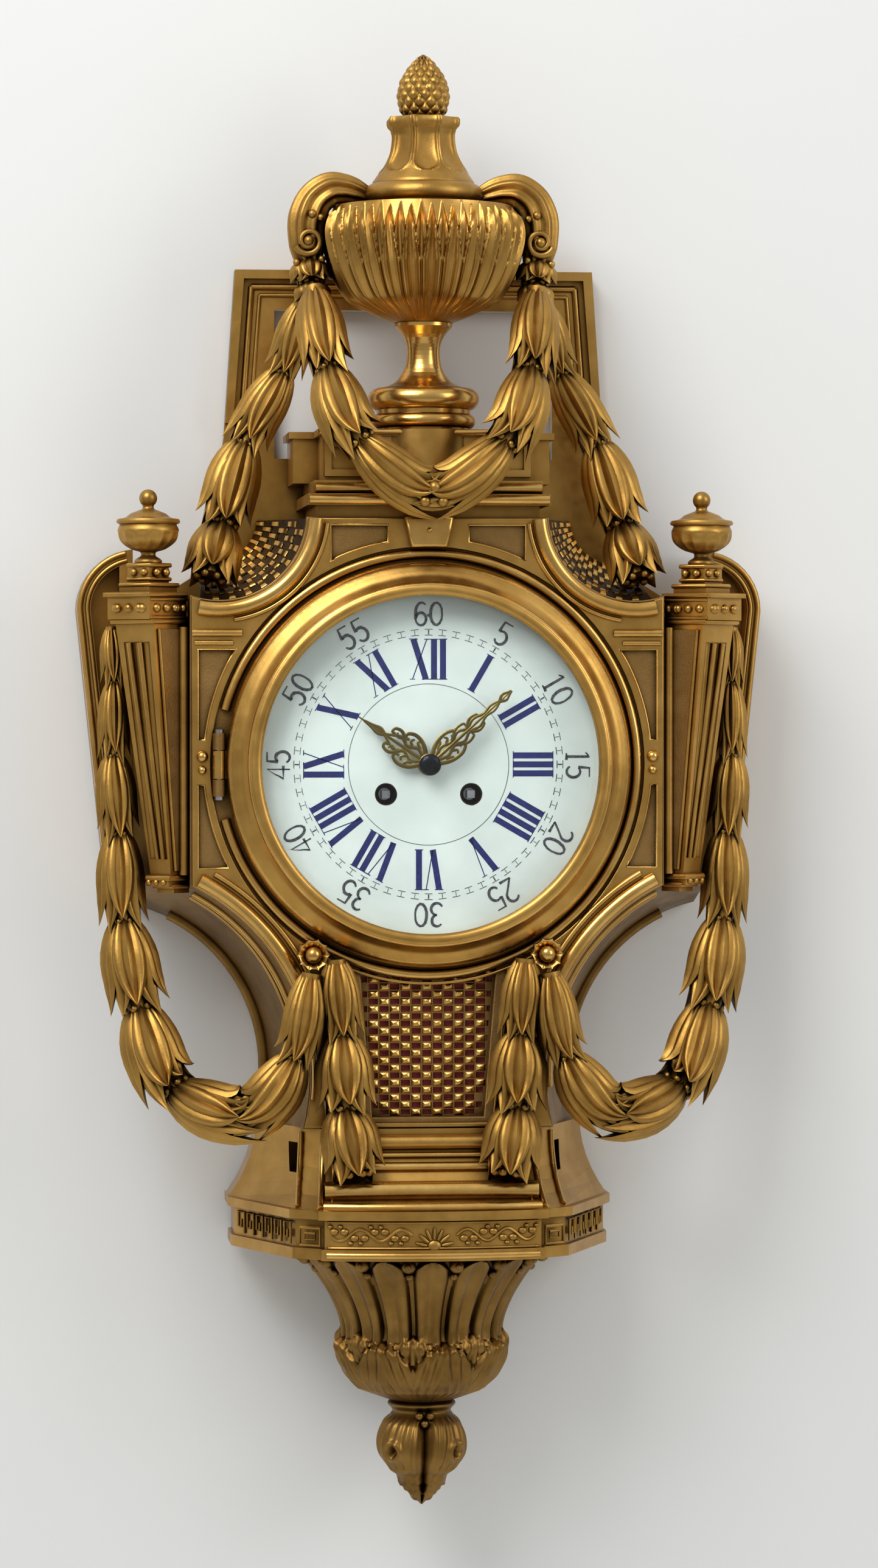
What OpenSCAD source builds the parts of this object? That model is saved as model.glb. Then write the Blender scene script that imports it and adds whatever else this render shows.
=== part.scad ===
// Cartel clock: a gilt bronze wall clock with an urn on top, laurel swags and a striking movement.
// Origin: centre of the hanging hole, on the wall. +X is the viewer's right, -Y leaves the wall, +Z is up.
// Heights in the modules are counted from the dial centre, and depths from the wall.

/* [Dial and bezel] */
// Radius of the dial that shows inside the bezel
dial_r = 75; // [73:1:77]
// Width of the bezel ring
bezel_w = 15; // [14:1:16]
// Height of the bezel in front of the case
bezel_h = 16; // [15:1:18]
// Rise of the convex glass
glass_rise = 8; // [6:1:10]
// Thickness of the glass
glass_t = 2; // [1.5:0.5:2.5]
// Thickness of the enamelled dial plate
dial_t = 2; // [1.5:0.5:2.5]
// Time shown, in minutes past twelve
shown_time = 608; // [0:1:719]
// Length of the minute hand
minute_l = 49; // [44:1:54]
// Length of the hour hand
hour_l = 38; // [34:1:42]

/* [Case] */
// Distance from the wall to the front of the case
case_d = 78; // [77:1:82]
// Thickness of the case front
front_t = 6; // [5:0.5:7]
// Thickness of the case walls
wall_t = 4; // [3:0.5:5]
// Half width of the case front
front_half = 106; // [105:1:108]
// Step from the front corners out to the side walls
side_step = 24; // [23:1:27]
// Half width of the case at the foot of the urn
crest_half = 54; // [53:1:56]
// Height of the case top
front_top = 110; // [109:1:113]
// Drop of the case bottom
front_drop = 162; // [160:1:165]
// Radius of the hollow shoulders
shoulder_r = 39; // [38:1:41]
// Radius of the hollow flanks
flank_r = 94; // [92:1:96]
// How much the shoulders and flanks close towards the wall
flare = 18; // [15:1:19]
// Radius of the bright beads along the hollows
bead_r = 3; // [2:0.5:3.5]
// Rise of the border of the front over its sunk panels
border_t = 1.9; // [1.5:0.1:2.4]
// Width of the border outside the sunk panels
border_w = 3.5; // [3:0.5:4.5]
// Half width of the apron grille, at its top
grille_half = 31; // [28:1:33]
// Width of one square of the lattice
lattice_w = 4.8; // [4.4:0.2:5.4]
// Height of one square of the lattice
lattice_h = 3.3; // [3:0.1:3.8]

/* [Back frame] */
// Thickness of the back frame
frame_t = 6; // [5:0.5:7]
// Half width of the back frame at its top
frame_half = 82; // [80:1:84]
// Height of the back frame
frame_top = 225; // [223:1:228]
// Width of the top rail and the posts
rail_w = 18; // [16:1:20]
// Radius of the hanging hole
hole_r = 4; // [3:0.5:5]
// Radius of the opening behind the movement
back_r = 64; // [60:1:68]

/* [Pilasters and wings] */
// Side of the pilaster at its top
shaft_top = 23; // [22:1:24]
// Side of the pilaster at its foot
shaft_foot = 12; // [10:1:14]
// Drop of the pilaster foot
shaft_drop = 50; // [46:1:52]
// Overhang of the capital
cap_over = 2.5; // [1.5:0.5:3]
// Radius of the arch of the side wing
wing_r = 27; // [25:1:28]
// Width of the rim of the side wing
wing_rim = 6; // [5:0.5:7]
// Depth of the side wing, from the wall
wing_d = 44; // [40:1:45]

/* [Urn and pedestal] */
// Height of the pedestal top
pedestal_top = 149; // [147:1:151]
// Half width of the pedestal front
pedestal_half = 47; // [45:1:49]
// Depth of the urn axis, from the wall
urn_d = 55; // [54:1:57]
// Greatest radius of the urn bowl
bowl_r = 44; // [42:1:45]
// Height of the urn bowl, from its foot to its rim
bowl_h = 52; // [49:1:55]
// Height of the urn stem, from the pedestal to the bowl
stem_h = 48.5; // [46:0.5:51]
// Height of the urn cover
cover_h = 40; // [38:1:43]
// Height of the pinecone
cone_h = 28; // [25:1:31]
// Radius of the rod through the urn
rod_r = 2.5; // [2:0.25:3]

/* [Swags] */
// Radius of the largest husk of leaves
husk_r = 12.5; // [11:0.5:13]
// Number of leaves in a husk
husk_n = 5; // [4:1:6]

/* [Base] */
// Height of the waist
waist_h = 34; // [32:1:37]
// Height of the frieze
frieze_h = 22; // [20:1:25]
// Depth of the frieze front, from the wall
frieze_d = 110; // [108:1:112]
// Half width of the bowed front of the frieze
frieze_front = 50; // [48:1:52]
// Half width of the frieze
frieze_half = 86; // [84:1:88]
// Height of the culot
culot_h = 69; // [66:1:73]
// Radius of the culot at its top
culot_r = 59; // [57:1:61]
// Height of the bud under the culot
bud_h = 45; // [42:1:48]
// Radius of the bud
bud_r = 20; // [18:1:21]

/* [Movement] */
// Radius of the movement plates
plate_r = 46; // [46:1:48]
// Thickness of the movement plates
plate_t = 2.5; // [2:0.25:3]
// Distance between the movement plates
plate_gap = 27.5; // [27:0.5:29]
// Side step of the winding squares
wind_x = 19; // [18.5:0.25:19.5]
// Drop of the winding squares
wind_drop = 13.2; // [13:0.1:13.6]
// Length of the pendulum, from its pivot to the middle of the bob
pendulum_l = 140; // [130:1:145]
// Radius of the pendulum bob
bob_r = 20; // [17:1:22]
// Radius of the bell
bell_r = 36; // [34:1:37]
// Radial clearance of a pivot in its hole
fit = 0.05; // [0.03:0.01:0.08]
// Clearance between pieces that pass each other
gap = 0.4; // [0.3:0.1:0.6]

/* [Hidden] */
$fn = 48;
gilt = [0.80, 0.62, 0.28];
brass = [0.78, 0.66, 0.35];
steel = [0.55, 0.56, 0.58];
hang_rise = frame_top - rail_w / 2;
frame_lip = rail_w / 2 - hole_r - 1;
bezel_r = dial_r + bezel_w;
front_back = case_d - front_t;
shoulder_c = [crest_half + shoulder_r, front_top + 2];
grille_t = 2.5;
shelf = shoulder_c[1] - shoulder_r - grille_t - 0.2;
corner_d = front_back - 2;
side_half = front_half + side_step;
cant_d = corner_d - side_step;
foot_z = -shaft_drop - 4;
flank_c = centre_left([front_half, foot_z], [56, -front_drop], flank_r);
grille_top = -bezel_r - 4;
grille_foot = -front_drop + 5;
grille_foot_half = grille_half - 6;
shaft_head = shelf - 8;
cap_side = shaft_top + cap_over;
cap_z = shelf + 6;
step_z = cap_z + 13;
urn_foot = pedestal_top + stem_h;
urn_rim = urn_foot + bowl_h;
cover_top = urn_rim + cover_h;
waist_z = -front_drop - waist_h;
frieze_z = waist_z - frieze_h;
culot_d = 46;
culot_z = frieze_z - culot_h;
hinge_x = -bezel_r - 3.2;
hinge_d = case_d + 4;
knuckle_r = 2.8;
// Face of the front's border, its round opening clear of the hinge, and the inner edge of its panels
border_d = case_d + border_t;
border_r = knuckle_r - hinge_x + 2 * gap;
panel_r = border_r + border_w;
pin_r = 1.2;
dial_front = case_d + dial_t;
plate_front = case_d - 9.5;
plate_in = plate_front - plate_t;
back_in = plate_in - plate_gap;
back_out = back_in - plate_t;
pillar_spots = [[32, 30], [-32, 30], [13, -40], [-13, -40]];
going_at = [wind_x, -wind_drop];
strike_at = [-wind_x, -wind_drop];
great_teeth = 84;
great_pinion = 12;
great_m = 2 * norm(going_at) / (great_teeth + great_pinion);
drum_r = 2 * wind_x - great_m * (great_teeth / 2 + 1) - gap;
centre_teeth = 80;
third_pinion = 8;
centre_m = 0.4;
third_teeth = 84;
escape_pinion = 7;
third_m = 0.32;
third_dir = 70;
third_at = spot(centre_m * (centre_teeth + third_pinion) / 2, third_dir);
third_reach = third_m * (third_teeth + escape_pinion) / 2;
escape_at = [0, third_at[1] + sqrt(pow(third_reach, 2) - pow(third_at[0], 2))];
escape_teeth = 40;
escape_r = 9;
pallet_at = escape_at + [0, 13];
pin_dir = 110;
pin_at = strike_at + spot(norm(going_at), pin_dir);
pin_teeth = 60;
pin_m = 0.4;
cannon_teeth = 12;
minute_teeth = 36;
minute_pinion = 10;
hour_teeth = 40;
motion_reach = 12;
minute_at = [0, motion_reach];
pendulum_d = back_out - 5;
bell_at = [0, -6];
bell_d = pendulum_d - 3.5;
hammer_at = [-46, -26];
pivots = [[third_at, 1], [escape_at, 0.6], [pallet_at, 1], [pin_at, 1]];
minute_d = dial_front + 6;
// Where the handle enters the bowl: distance from the axis, and height over the foot of the bowl
handle_low = [bowl_r + 8, 0.42 * bowl_h];
handle_path = smooth([handle_low, [bowl_r + 13, 0.55 * bowl_h], [bowl_r + 15, 0.8 * bowl_h],
    [bowl_r + 11, bowl_h + 6],
    [bowl_r + 2, bowl_h + 13], [bowl_r - 8, bowl_h + 14], [bowl_r - 12, bowl_h + 8]], 3);
button_at = [52, -bezel_r + 6];
swag_low = -front_drop + 8;
drop_low = -front_drop - 22;
// How far the panel frames of the pedestal stand out
panel_rise = 1.8;
// Lines of the swags through the joints of their husks: x, depth and height
crest_half_line = [[bowl_r + 6, urn_d + 14, urn_foot + 14], [bowl_r + 1, urn_d + 32, urn_foot - 21],
    [bowl_r - 11, urn_d + 42, pedestal_top - 5], [0, urn_d + 44, front_top + 10]];
crest_line = concat(crest_half_line, [for (i = [2:-1:0]) mirrored(crest_half_line)[i]]);
shoulder_line = [[bowl_r + 10, urn_d, urn_foot + 9], [bowl_r + 18, urn_d - 6, urn_foot - 20],
    [bowl_r + 35, urn_d - 8, urn_foot - 52], [shoulder_c[0] - 3, urn_d - 3, shelf + 39],
    [shoulder_c[0] + 3, urn_d + 7, shelf + 14]];
side_line = [[side_half + 10, wing_d + 12, hung(0)], [side_half + 9, wing_d + 14, hung(0.11)],
    [side_half + 9, wing_d + 16, hung(0.26)], [side_half + 7, wing_d + 17, hung(0.42)],
    [side_half + 5, wing_d + 18, hung(0.6)], [side_half - 2, wing_d + 22, hung(0.78)],
    [side_half - 16, wing_d + 30, hung(0.95)], [side_half - 49, case_d + 13, swag_low],
    [button_at[0] + 8, case_d + 15, button_at[1] - 44], [button_at[0] + 1, case_d + 14, button_at[1] - 8]];
drop_line = [[button_at[0] - 10, case_d + 13, dropped(0)],
    [button_at[0] - 12.5, case_d + 13.5, dropped(0.33)], [button_at[0] - 14, case_d + 15, dropped(0.66)],
    [button_at[0] - 18.5, case_d + 19, dropped(1)]];
// Sizes of the husks, as shares of the largest radius
crest_sizes = [0.8, 0.9, 0.85, 0.85, 0.9, 0.8];
shoulder_sizes = [0.65, 0.75, 0.9, 0.9];
side_sizes = [0.42, 0.52, 0.66, 0.78, 0.95, 1, 0.95, 0.9, 0.72];
drop_sizes = [0.7, 0.95, 0.95];
// Husk of leaves: place along its step, and share of its radius
husk_shape = [[0, 0.4], [0.12, 0.64], [0.36, 0.93], [0.66, 1], [0.93, 0.84]];

// Point at radius r and angle a
function spot(r, a) = r * [cos(a), sin(a)];
// Angle of the way from p to q
function way(p, q) = atan2(q[1] - p[1], q[0] - p[0]);
// Centre of the circle of radius r through p and q, on the left of the way from p to q
function centre_left(p, q, r) =
    let (u = (q - p) / norm(q - p), h = sqrt(r * r - pow(norm(q - p) / 2, 2)))
    (p + q) / 2 + h * [-u[1], u[0]];
// Points on an arc about c
function arc(c, r, a, b, n) = [for (i = [0:n]) c + spot(r, a + (b - a) * i / n)];
// Smooth curve through the points p, n steps from each point to the next
function smooth(p, n = 4) =
    let (last = len(p) - 1)
    [for (i = [0:last - 1], k = [0:n - 1])
        curve(p[max(i - 1, 0)], p[i], p[i + 1], p[min(i + 2, last)], k / n),
     p[last]];
function curve(a, b, c, d, t) =
    (2 * b + (c - a) * t + (2 * a - 5 * b + 4 * c - d) * t * t + (3 * b - a - 3 * c + d) * t * t * t) / 2;
function reversed(p) = [for (i = [len(p) - 1:-1:0]) p[i]];
// Outline of a gear: straight flanks, with the tooth width given as a share of the pitch
function teeth(n, m, tip, pitch, root, rise, fall) =
    let (step = 360 / n, r = n * m / 2)
    [for (i = [0:n - 1]) each [
        spot(r - fall * m, (i - root / 2) * step),
        spot(r, (i - pitch / 2) * step),
        spot(r + rise * m, (i - tip / 2) * step),
        spot(r + rise * m, (i + tip / 2) * step),
        spot(r, (i + pitch / 2) * step),
        spot(r - fall * m, (i + root / 2) * step)]];

// Height at the share s of the drop of a side swag
function hung(s) = (shelf - 9) * (1 - s) + swag_low * s;
// Height at the share s of an apron drop
function dropped(s) = (button_at[1] - 2) * (1 - s) + drop_low * s;

// Moves heights counted from the dial centre to the frame of the clock
module on_wall() {
    translate([0, 0, -hang_rise]) children();
}
// Front view shape, drawn out from depth a to depth b
module slab(a, b) {
    rotate([90, 0, 0]) translate([0, 0, a]) linear_extrude(b - a) children();
}
// Profile of radius and depth, turned about an axis square to the wall at c
module faced(c, from = 0, turn = 360) {
    translate([c[0], 0, c[1]]) rotate([90, 0, 0]) rotate([0, 0, from]) rotate_extrude(angle = turn)
        children();
}
// Profile of radius and height, turned about an upright axis at depth d
module upright(d) {
    translate([0, -d, 0]) rotate_extrude() children();
}
module pair() {
    children();
    mirror([1, 0, 0]) children();
}
module rod(a, b, r) {
    v = b - a;
    translate(a) rotate([0, acos(v[2] / norm(v)), atan2(v[1], v[0])]) cylinder(h = norm(v), r = r);
}
// Box between two corners
module block(a, b) {
    translate(a) cube(b - a);
}
// Solid through rings of points, listed upwards, each going round anticlockwise
module loft(rings) {
    n = len(rings[0]);
    m = len(rings);
    sides = [for (k = [0:m - 2], i = [0:n - 1]) [k * n + i, k * n + n + i, k * n + n + (i + 1) % n,
        k * n + (i + 1) % n]];
    split = [for (s = sides) each [[s[0], s[1], s[2]], [s[0], s[2], s[3]]]];
    polyhedron([for (r = rings) each r],
        concat(split, [[for (i = [0:n - 1]) i]], [[for (i = [n - 1:-1:0]) (m - 1) * n + i]]));
}
// Toothed wheel with five spokes
module wheel(n, m, phase) {
    r = n * m / 2;
    difference() {
        rotate(phase) polygon(teeth(n, m, 0.16, 0.42, 0.56, 0.8, 1.1));
        difference() {
            circle(r - 2.4 * m - 1);
            circle(r * 0.26);
            for (i = [0:4]) rotate(72 * i + 20) translate([0, -0.9]) square([r, 1.8]);
        }
    }
}
module pinion(n, m, phase) {
    rotate(phase) polygon(teeth(n, m, 0.14, 0.36, 0.42, 0.65, 1.05));
}

// Outline of the case front
module front_outline() {
    difference() {
        translate([-front_half, -front_drop]) square([2 * front_half, front_drop + front_top]);
        pair() translate(shoulder_c) circle(shoulder_r);
        pair() translate(flank_c) circle(flank_r);
    }
}
module grille_opening(grow) {
    difference() {
        polygon([[-grille_half - grow, grille_top + 8], [grille_half + grow, grille_top + 8],
            [grille_foot_half + grow, grille_foot - grow], [-grille_foot_half - grow, grille_foot - grow]]);
        circle(-grille_top - grow);
    }
}
// Plan of the case walls, drawn in by t
module case_plan(t) {
    cut = t * tan(22.5);
    side = side_half - t;
    front = front_half - t;
    back = frame_t - t;
    ahead = front_back + (t > 0 ? 1 : 0);
    polygon([[-side, -back], [-side, -cant_d + cut], [-front, -corner_d + cut], [-front, -ahead],
        [front, -ahead], [front, -corner_d + cut], [side, -cant_d + cut], [side, -back]]);
}
module case_front() {
    on_wall() color(gilt) {
        slab(front_back, case_d) difference() {
            front_outline();
            circle(plate_r + 12);
            grille_opening(0);
        }
        slab(frame_t, front_back) translate([-crest_half + 4, front_top - wall_t])
            square([2 * crest_half - 8, wall_t]);
        slab(case_d - 1, border_d) front_border();
        pair() faced(shoulder_c, 184, 92) translate([shoulder_r + bead_r + 1, border_d - 1]) circle(bead_r);
        pair() faced(flank_c, 118, 66) translate([flank_r + bead_r + 1, border_d - 1]) circle(bead_r);
        slab(case_d, border_d + 5)
            polygon([[-8, border_r], [8, border_r], [11, front_top], [-11, front_top]]);
        pair() for (i = [0, 1]) translate([front_half - 5.4, -border_d, 3.6 - 6 * i]) sphere(2.6 - 0.7 * i);
        pair() slab(case_d, border_d + 1.2) translate([front_half - 22, shelf - 14]) square([21, 4]);
        hinge_leaf(knuckle_r * 2.2 + gap, knuckle_r * 5);
        hinge_leaf(-knuckle_r * 5, -knuckle_r * 2.2 - gap);
    }
}
module case_walls() {
    on_wall() color(gilt) {
        difference() {
            translate([0, 0, -front_drop]) linear_extrude(front_drop + shelf) case_plan(0);
            pair() faced(flank_c) flank_profile(0);
            difference() {
                translate([0, 0, -front_drop - 1]) linear_extrude(front_drop + shelf - wall_t + 1)
                    case_plan(wall_t);
                pair() faced(flank_c) flank_profile(wall_t);
            }
        }
        pair() faced(flank_c, 116, 74) translate([flank_r - flare + 2, frame_t + 9]) circle(bead_r);
    }
}
// Sunk panel beside the bezel, from height a to height b
module field_panel(a, b) {
    difference() {
        translate([0, a]) square([front_half - border_w, b - a]);
        circle(panel_r);
    }
}
// Sunk panel beside the keystone
module crown_panel() {
    difference() {
        translate([18, 0]) square([crest_half - 28.5, front_top - border_w]);
        circle(panel_r);
    }
}
// Border of the front, round its sunk panels, the bezel and the grille
module front_border() {
    difference() {
        front_outline();
        circle(border_r);
        grille_opening(border_w);
        pair() field_panel(11, shelf - 19);
        pair() field_panel(foot_z + 8, -9);
        pair() crown_panel();
    }
}
// Section of the solid taken out for a hollow flank, larger by t
module flank_profile(t) {
    polygon([[0, frame_t - 2], [flank_r - flare + t, frame_t - 2], [flank_r - flare + t, frame_t],
        [flank_r + t, front_back], [flank_r + t, case_d + 2], [0, case_d + 2]]);
}
module hinge_leaf(a, b) {
    difference() {
        union() {
            translate([hinge_x, -hinge_d, a]) cylinder(h = b - a, r = knuckle_r);
            block([hinge_x - knuckle_r, -hinge_d, a], [hinge_x + knuckle_r, -case_d + 1, b]);
        }
        translate([hinge_x, -hinge_d, a - 1]) cylinder(h = b - a + 2, r = pin_r + fit);
    }
}
module back_frame() {
    on_wall() color(gilt) {
        slab(0, frame_t) difference() {
            union() {
                polygon([[-frame_half, frame_top], [-frame_half - 5, pedestal_top],
                    [-frame_half - 14, shelf + 18],
                    [-side_half + 12, shelf + 4], [-side_half + 12, shelf - 5], [side_half - 12, shelf - 5],
                        [side_half - 12, shelf + 4],
                    [frame_half + 14, shelf + 18], [frame_half + 5, pedestal_top],
                        [frame_half, frame_top]]);
                difference() {
                    translate([-side_half, -front_drop]) square([2 * side_half, front_drop + shelf]);
                    pair() translate(flank_c) circle(flank_r - flare);
                }
                translate([-74, frieze_z]) square([148, -front_drop - frieze_z + 2]);
            }
            translate([-frame_half + rail_w, pedestal_top - 10])
                square([2 * (frame_half - rail_w), frame_top - rail_w - pedestal_top + 10]);
            circle(back_r);
            translate([-36, -pendulum_l]) square([72, pendulum_l]);
            translate([0, hang_rise]) circle(hole_r);
        }
        pair() slab(frame_t - 1, frame_t + 4) polygon([[frame_half, frame_top],
            [frame_half - frame_lip, frame_top - frame_lip], [frame_half + 5 - frame_lip, pedestal_top + 6],
            [frame_half + 4.6, pedestal_top + 6]]);
        slab(frame_t - 1, frame_t + 4) polygon([[-frame_half, frame_top],
            [-frame_half + frame_lip, frame_top - frame_lip],
            [frame_half - frame_lip, frame_top - frame_lip], [frame_half, frame_top]]);
    }
}
// Pierced spandrel on the hollow shoulder
module upper_grille() {
    holes = 11;
    rows = 5;
    span = front_back - frame_t;
    difference() {
        faced(shoulder_c, 184, 98) polygon([[shoulder_r, front_back], [shoulder_r + grille_t, front_back],
            [shoulder_r - flare + grille_t, frame_t], [shoulder_r - flare, frame_t]]);
        for (k = [1:rows], i = [1:holes]) {
            d = frame_t + span * k / (rows + 1);
            a = 184 + 98 * (i + (k % 2) / 2 - 0.25) / (holes + 1);
            translate([shoulder_c[0], -d, shoulder_c[1]]) rotate([0, 90 - a, 0])
                translate([0, 0, shoulder_r - flare - 3])
                rotate([0, 0, 45]) cylinder(h = flare + 10, r = 2.2, $fn = 4);
        }
    }
}
module upper_grilles() {
    on_wall() color(gilt) pair() upper_grille();
}
module apron_grille() {
    rows = ceil((grille_top - grille_foot) / lattice_h) + 1;
    on_wall() color(gilt) slab(front_back - 2, front_back) difference() {
        grille_opening(4);
        intersection() {
            grille_opening(-0.8);
            union() for (k = [0:rows], i = [-4:4])
                translate([(2 * i + k % 2) * lattice_w, grille_foot + (k + 0.5) * lattice_h])
                    square([lattice_w * 0.86, lattice_h * 0.8], center = true);
        }
    }
}
module grille_silk() {
    on_wall() color([0.45, 0.08, 0.07]) slab(front_back - 2.8, front_back - 2) grille_opening(3);
}

// Pilaster with its capital, on the right, drawn square to the canted corner
module pilaster() {
    at = [front_half, -corner_d, 0];
    slope = (shaft_top - shaft_foot) / (shaft_head + shaft_drop);
    side = [[0, -shaft_drop], [shaft_foot, -shaft_drop], [shaft_top, shaft_head], [0, shaft_head]];
    translate(at) rotate([0, 0, -45]) {
        difference() {
            intersection() {
                translate([0, shaft_top, 0]) rotate([90, 0, 0]) linear_extrude(shaft_top) polygon(side);
                rotate([90, 0, 90]) linear_extrude(shaft_top) polygon(side);
            }
            for (share = [0.22, 0.5, 0.78]) {
                low = shaft_foot + slope * 8;
                high = shaft_top - slope * 8;
                rod([low + 0.5, share * low, -shaft_drop + 8], [high + 0.5, share * high, shaft_head - 8],
                    1.6);
            }
        }
        block([0, 0, shaft_head], [shaft_top + 1, shaft_top + 1, shaft_head + 2.5]);
        block([0, 0, shaft_head + 2], [cap_side, cap_side, cap_z - 2]);
        block([0, 0, cap_z - 2], [cap_side + 1.5, cap_side + 1.5, cap_z]);
        for (i = [1:3]) {
            translate([cap_side, cap_side * i / 4, shaft_head + 7]) sphere(2);
            translate([cap_side * i / 4 + 2, 0, shaft_head + 7]) sphere(2);
        }
        translate([cap_side / 2, cap_side / 2, cap_z]) {
            translate([-9, -9, -1]) cube([18, 18, 5]);
            translate([-6.5, -6.5, 3]) cube([13, 13, step_z - cap_z - 3]);
        }
        block([0, 0, -shaft_drop - 4], [shaft_foot + 1.5, shaft_foot + 1.5, -shaft_drop + 1]);
        block([0, 0, -shaft_drop - 7], [shaft_foot - 2, shaft_foot - 2, -shaft_drop - 3]);
    }
}
module pilaster_right() {
    on_wall() color(gilt) pilaster();
}
module pilaster_left() {
    on_wall() color(gilt) mirror([1, 0, 0]) pilaster();
}
// Small covered urn that stands on a capital
module corner_urn() {
    foot = [[0, 0], [6, 0], [6, 1.5]];
    body = smooth([[3, 4], [8, 8], [13.5, 15], [14, 19], [11.5, 22], [6, 24], [2.5, 26.5]]);
    translate([front_half + cap_side * sqrt(0.5), -corner_d, step_z]) rotate_extrude() {
        polygon(concat(foot, body, [[0, 26.5]]));
        intersection() {
            translate([0, 29]) circle(3.8);
            translate([0, 20]) square(20);
        }
    }
}
module corner_urn_right() {
    on_wall() color(gilt) corner_urn();
}
module corner_urn_left() {
    on_wall() color(gilt) mirror([1, 0, 0]) corner_urn();
}
function wing_outline(t) =
    let (c = [side_half - 2, shelf - 1], r = wing_r - t, foot = [side_half + 13 - t, foot_z + 8 + t])
    concat([[side_half + t, foot_z + 2 * t]], [foot], arc(c, r, 0, acos((2 + t) / r), 10));
module side_wing() {
    difference() {
        slab(frame_t, wing_d) polygon(wing_outline(0));
        slab(wing_d - 14, wing_d + 1) polygon(wing_outline(wing_rim));
    }
}
module side_wing_right() {
    on_wall() color(gilt) side_wing();
}
module side_wing_left() {
    on_wall() color(gilt) mirror([1, 0, 0]) side_wing();
}

module pedestal() {
    face = urn_d + 21;
    on_wall() color(gilt) difference() {
        union() {
            block([-crest_half + 4, -case_d + 1, front_top], [crest_half - 4, -frame_t, front_top + 5]);
            block([-pedestal_half - 7, -face - 10, front_top + 5],
                [pedestal_half + 7, -frame_t, front_top + 10]);
            block([-pedestal_half - 4, -face - 6, front_top + 10],
                [pedestal_half + 4, -frame_t, front_top + 16]);
            block([-pedestal_half, -face, front_top + 16], [pedestal_half, -frame_t, pedestal_top - 3]);
            block([-pedestal_half - 11, -urn_d + 8, front_top + 16],
                [pedestal_half + 11, -frame_t, pedestal_top - 3]);
            block([-pedestal_half - 2, -face - 2, pedestal_top - 3],
                [pedestal_half + 2, -frame_t, pedestal_top]);
            block([-pedestal_half - 13, -urn_d + 6, pedestal_top - 3],
                [pedestal_half + 13, -frame_t, pedestal_top]);
            translate([0, -urn_d - 4, front_top + 15])
                cylinder(h = pedestal_top - front_top - 15, r = 23.5);
            pair() slab(face - 1, face + panel_rise) difference() {
                translate([26, front_top + 18]) square([pedestal_half - 27, pedestal_top - front_top - 23]);
                translate([29, front_top + 21]) square([pedestal_half - 33, pedestal_top - front_top - 29]);
            }
        }
        translate([0, -urn_d, pedestal_top - 20]) cylinder(h = 21, r = rod_r + fit);
        block([-pedestal_half + wall_t, -face + wall_t, front_top - 1],
            [pedestal_half - wall_t, -frame_t + 1, pedestal_top - 24]);
    }
}
module urn_socle() {
    waist = smooth([[19, 19.5], [13, 22], [8.6, 28], [7.4, 36], [9, 42], [13, 47]]);
    on_wall() color(gilt) translate([0, 0, pedestal_top]) upright(urn_d) {
        difference() {
            union() {
                polygon(concat([[0, 0], [21, 0], [21, 10], [19, 10]], waist, [[13, stem_h], [0, stem_h]]));
                translate([20, 4.5]) circle(3.4);
                translate([20, 14.5]) circle(5);
            }
            translate([-10, -1]) square([rod_r + fit + 10, stem_h + 2]);
        }
    }
}
function bowl_curve(t) = smooth([[14 - t / 2, t], [22 - t, 4 + t],
    [0.73 * bowl_r - t, 0.2 * bowl_h + t / 2],
    [0.9 * bowl_r - t, 0.44 * bowl_h], [bowl_r - t, 0.77 * bowl_h], [0.95 * bowl_r - t, bowl_h - t]]);
module urn_bowl() {
    on_wall() color(gilt) translate([0, 0, urn_foot]) difference() {
        upright(urn_d) polygon(concat([[rod_r + fit, 0], [14, 0]], bowl_curve(0),
            [[24, bowl_h], [24, bowl_h - wall_t]],
            reversed(bowl_curve(wall_t)), [[rod_r + fit, wall_t]]));
        translate([0, -urn_d, handle_low[1]]) rotate([0, 90, 0])
            cylinder(h = 2 * bowl_r + 10, r = 2 + fit, center = true);
    }
}
module urn_cover() {
    neck = smooth([[25, 10.5], [18.5, 17], [14.6, 24], [13.6, 31], [14.5, 35]]);
    on_wall() color(gilt) translate([0, 0, urn_rim]) difference() {
        upright(urn_d) {
            polygon(concat([[rod_r + fit, 0], [23.5, 0], [23.5, 10.5]], neck,
                [[15.8, 36], [15.8, cover_h], [rod_r + fit, cover_h]]));
            translate([22, 5.6]) circle(4.8);
        }
        for (i = [0:11]) translate([0, -urn_d, 0]) rotate([0, 0, 30 * i + 15])
            rod([24.5, 0, 13], [15.3, 0, 32], 2);
    }
}
module pinecone_finial() {
    on_wall() color(gilt) translate([0, 0, cover_top]) upright(urn_d) difference() {
        polygon(concat([[0, 0]], smooth([[8.5, 0], [9.5, 3], [11.4, 0.38 * cone_h], [9, 0.7 * cone_h],
            [4, 0.93 * cone_h], [0, cone_h]])));
        translate([-10, -1]) square([rod_r + fit + 10, 9]);
    }
}
module urn_tie_rod() {
    low = pedestal_top - 19.5;
    on_wall() color(steel) translate([0, -urn_d, low]) cylinder(h = cover_top + 7.5 - low, r = rod_r);
}
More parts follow.
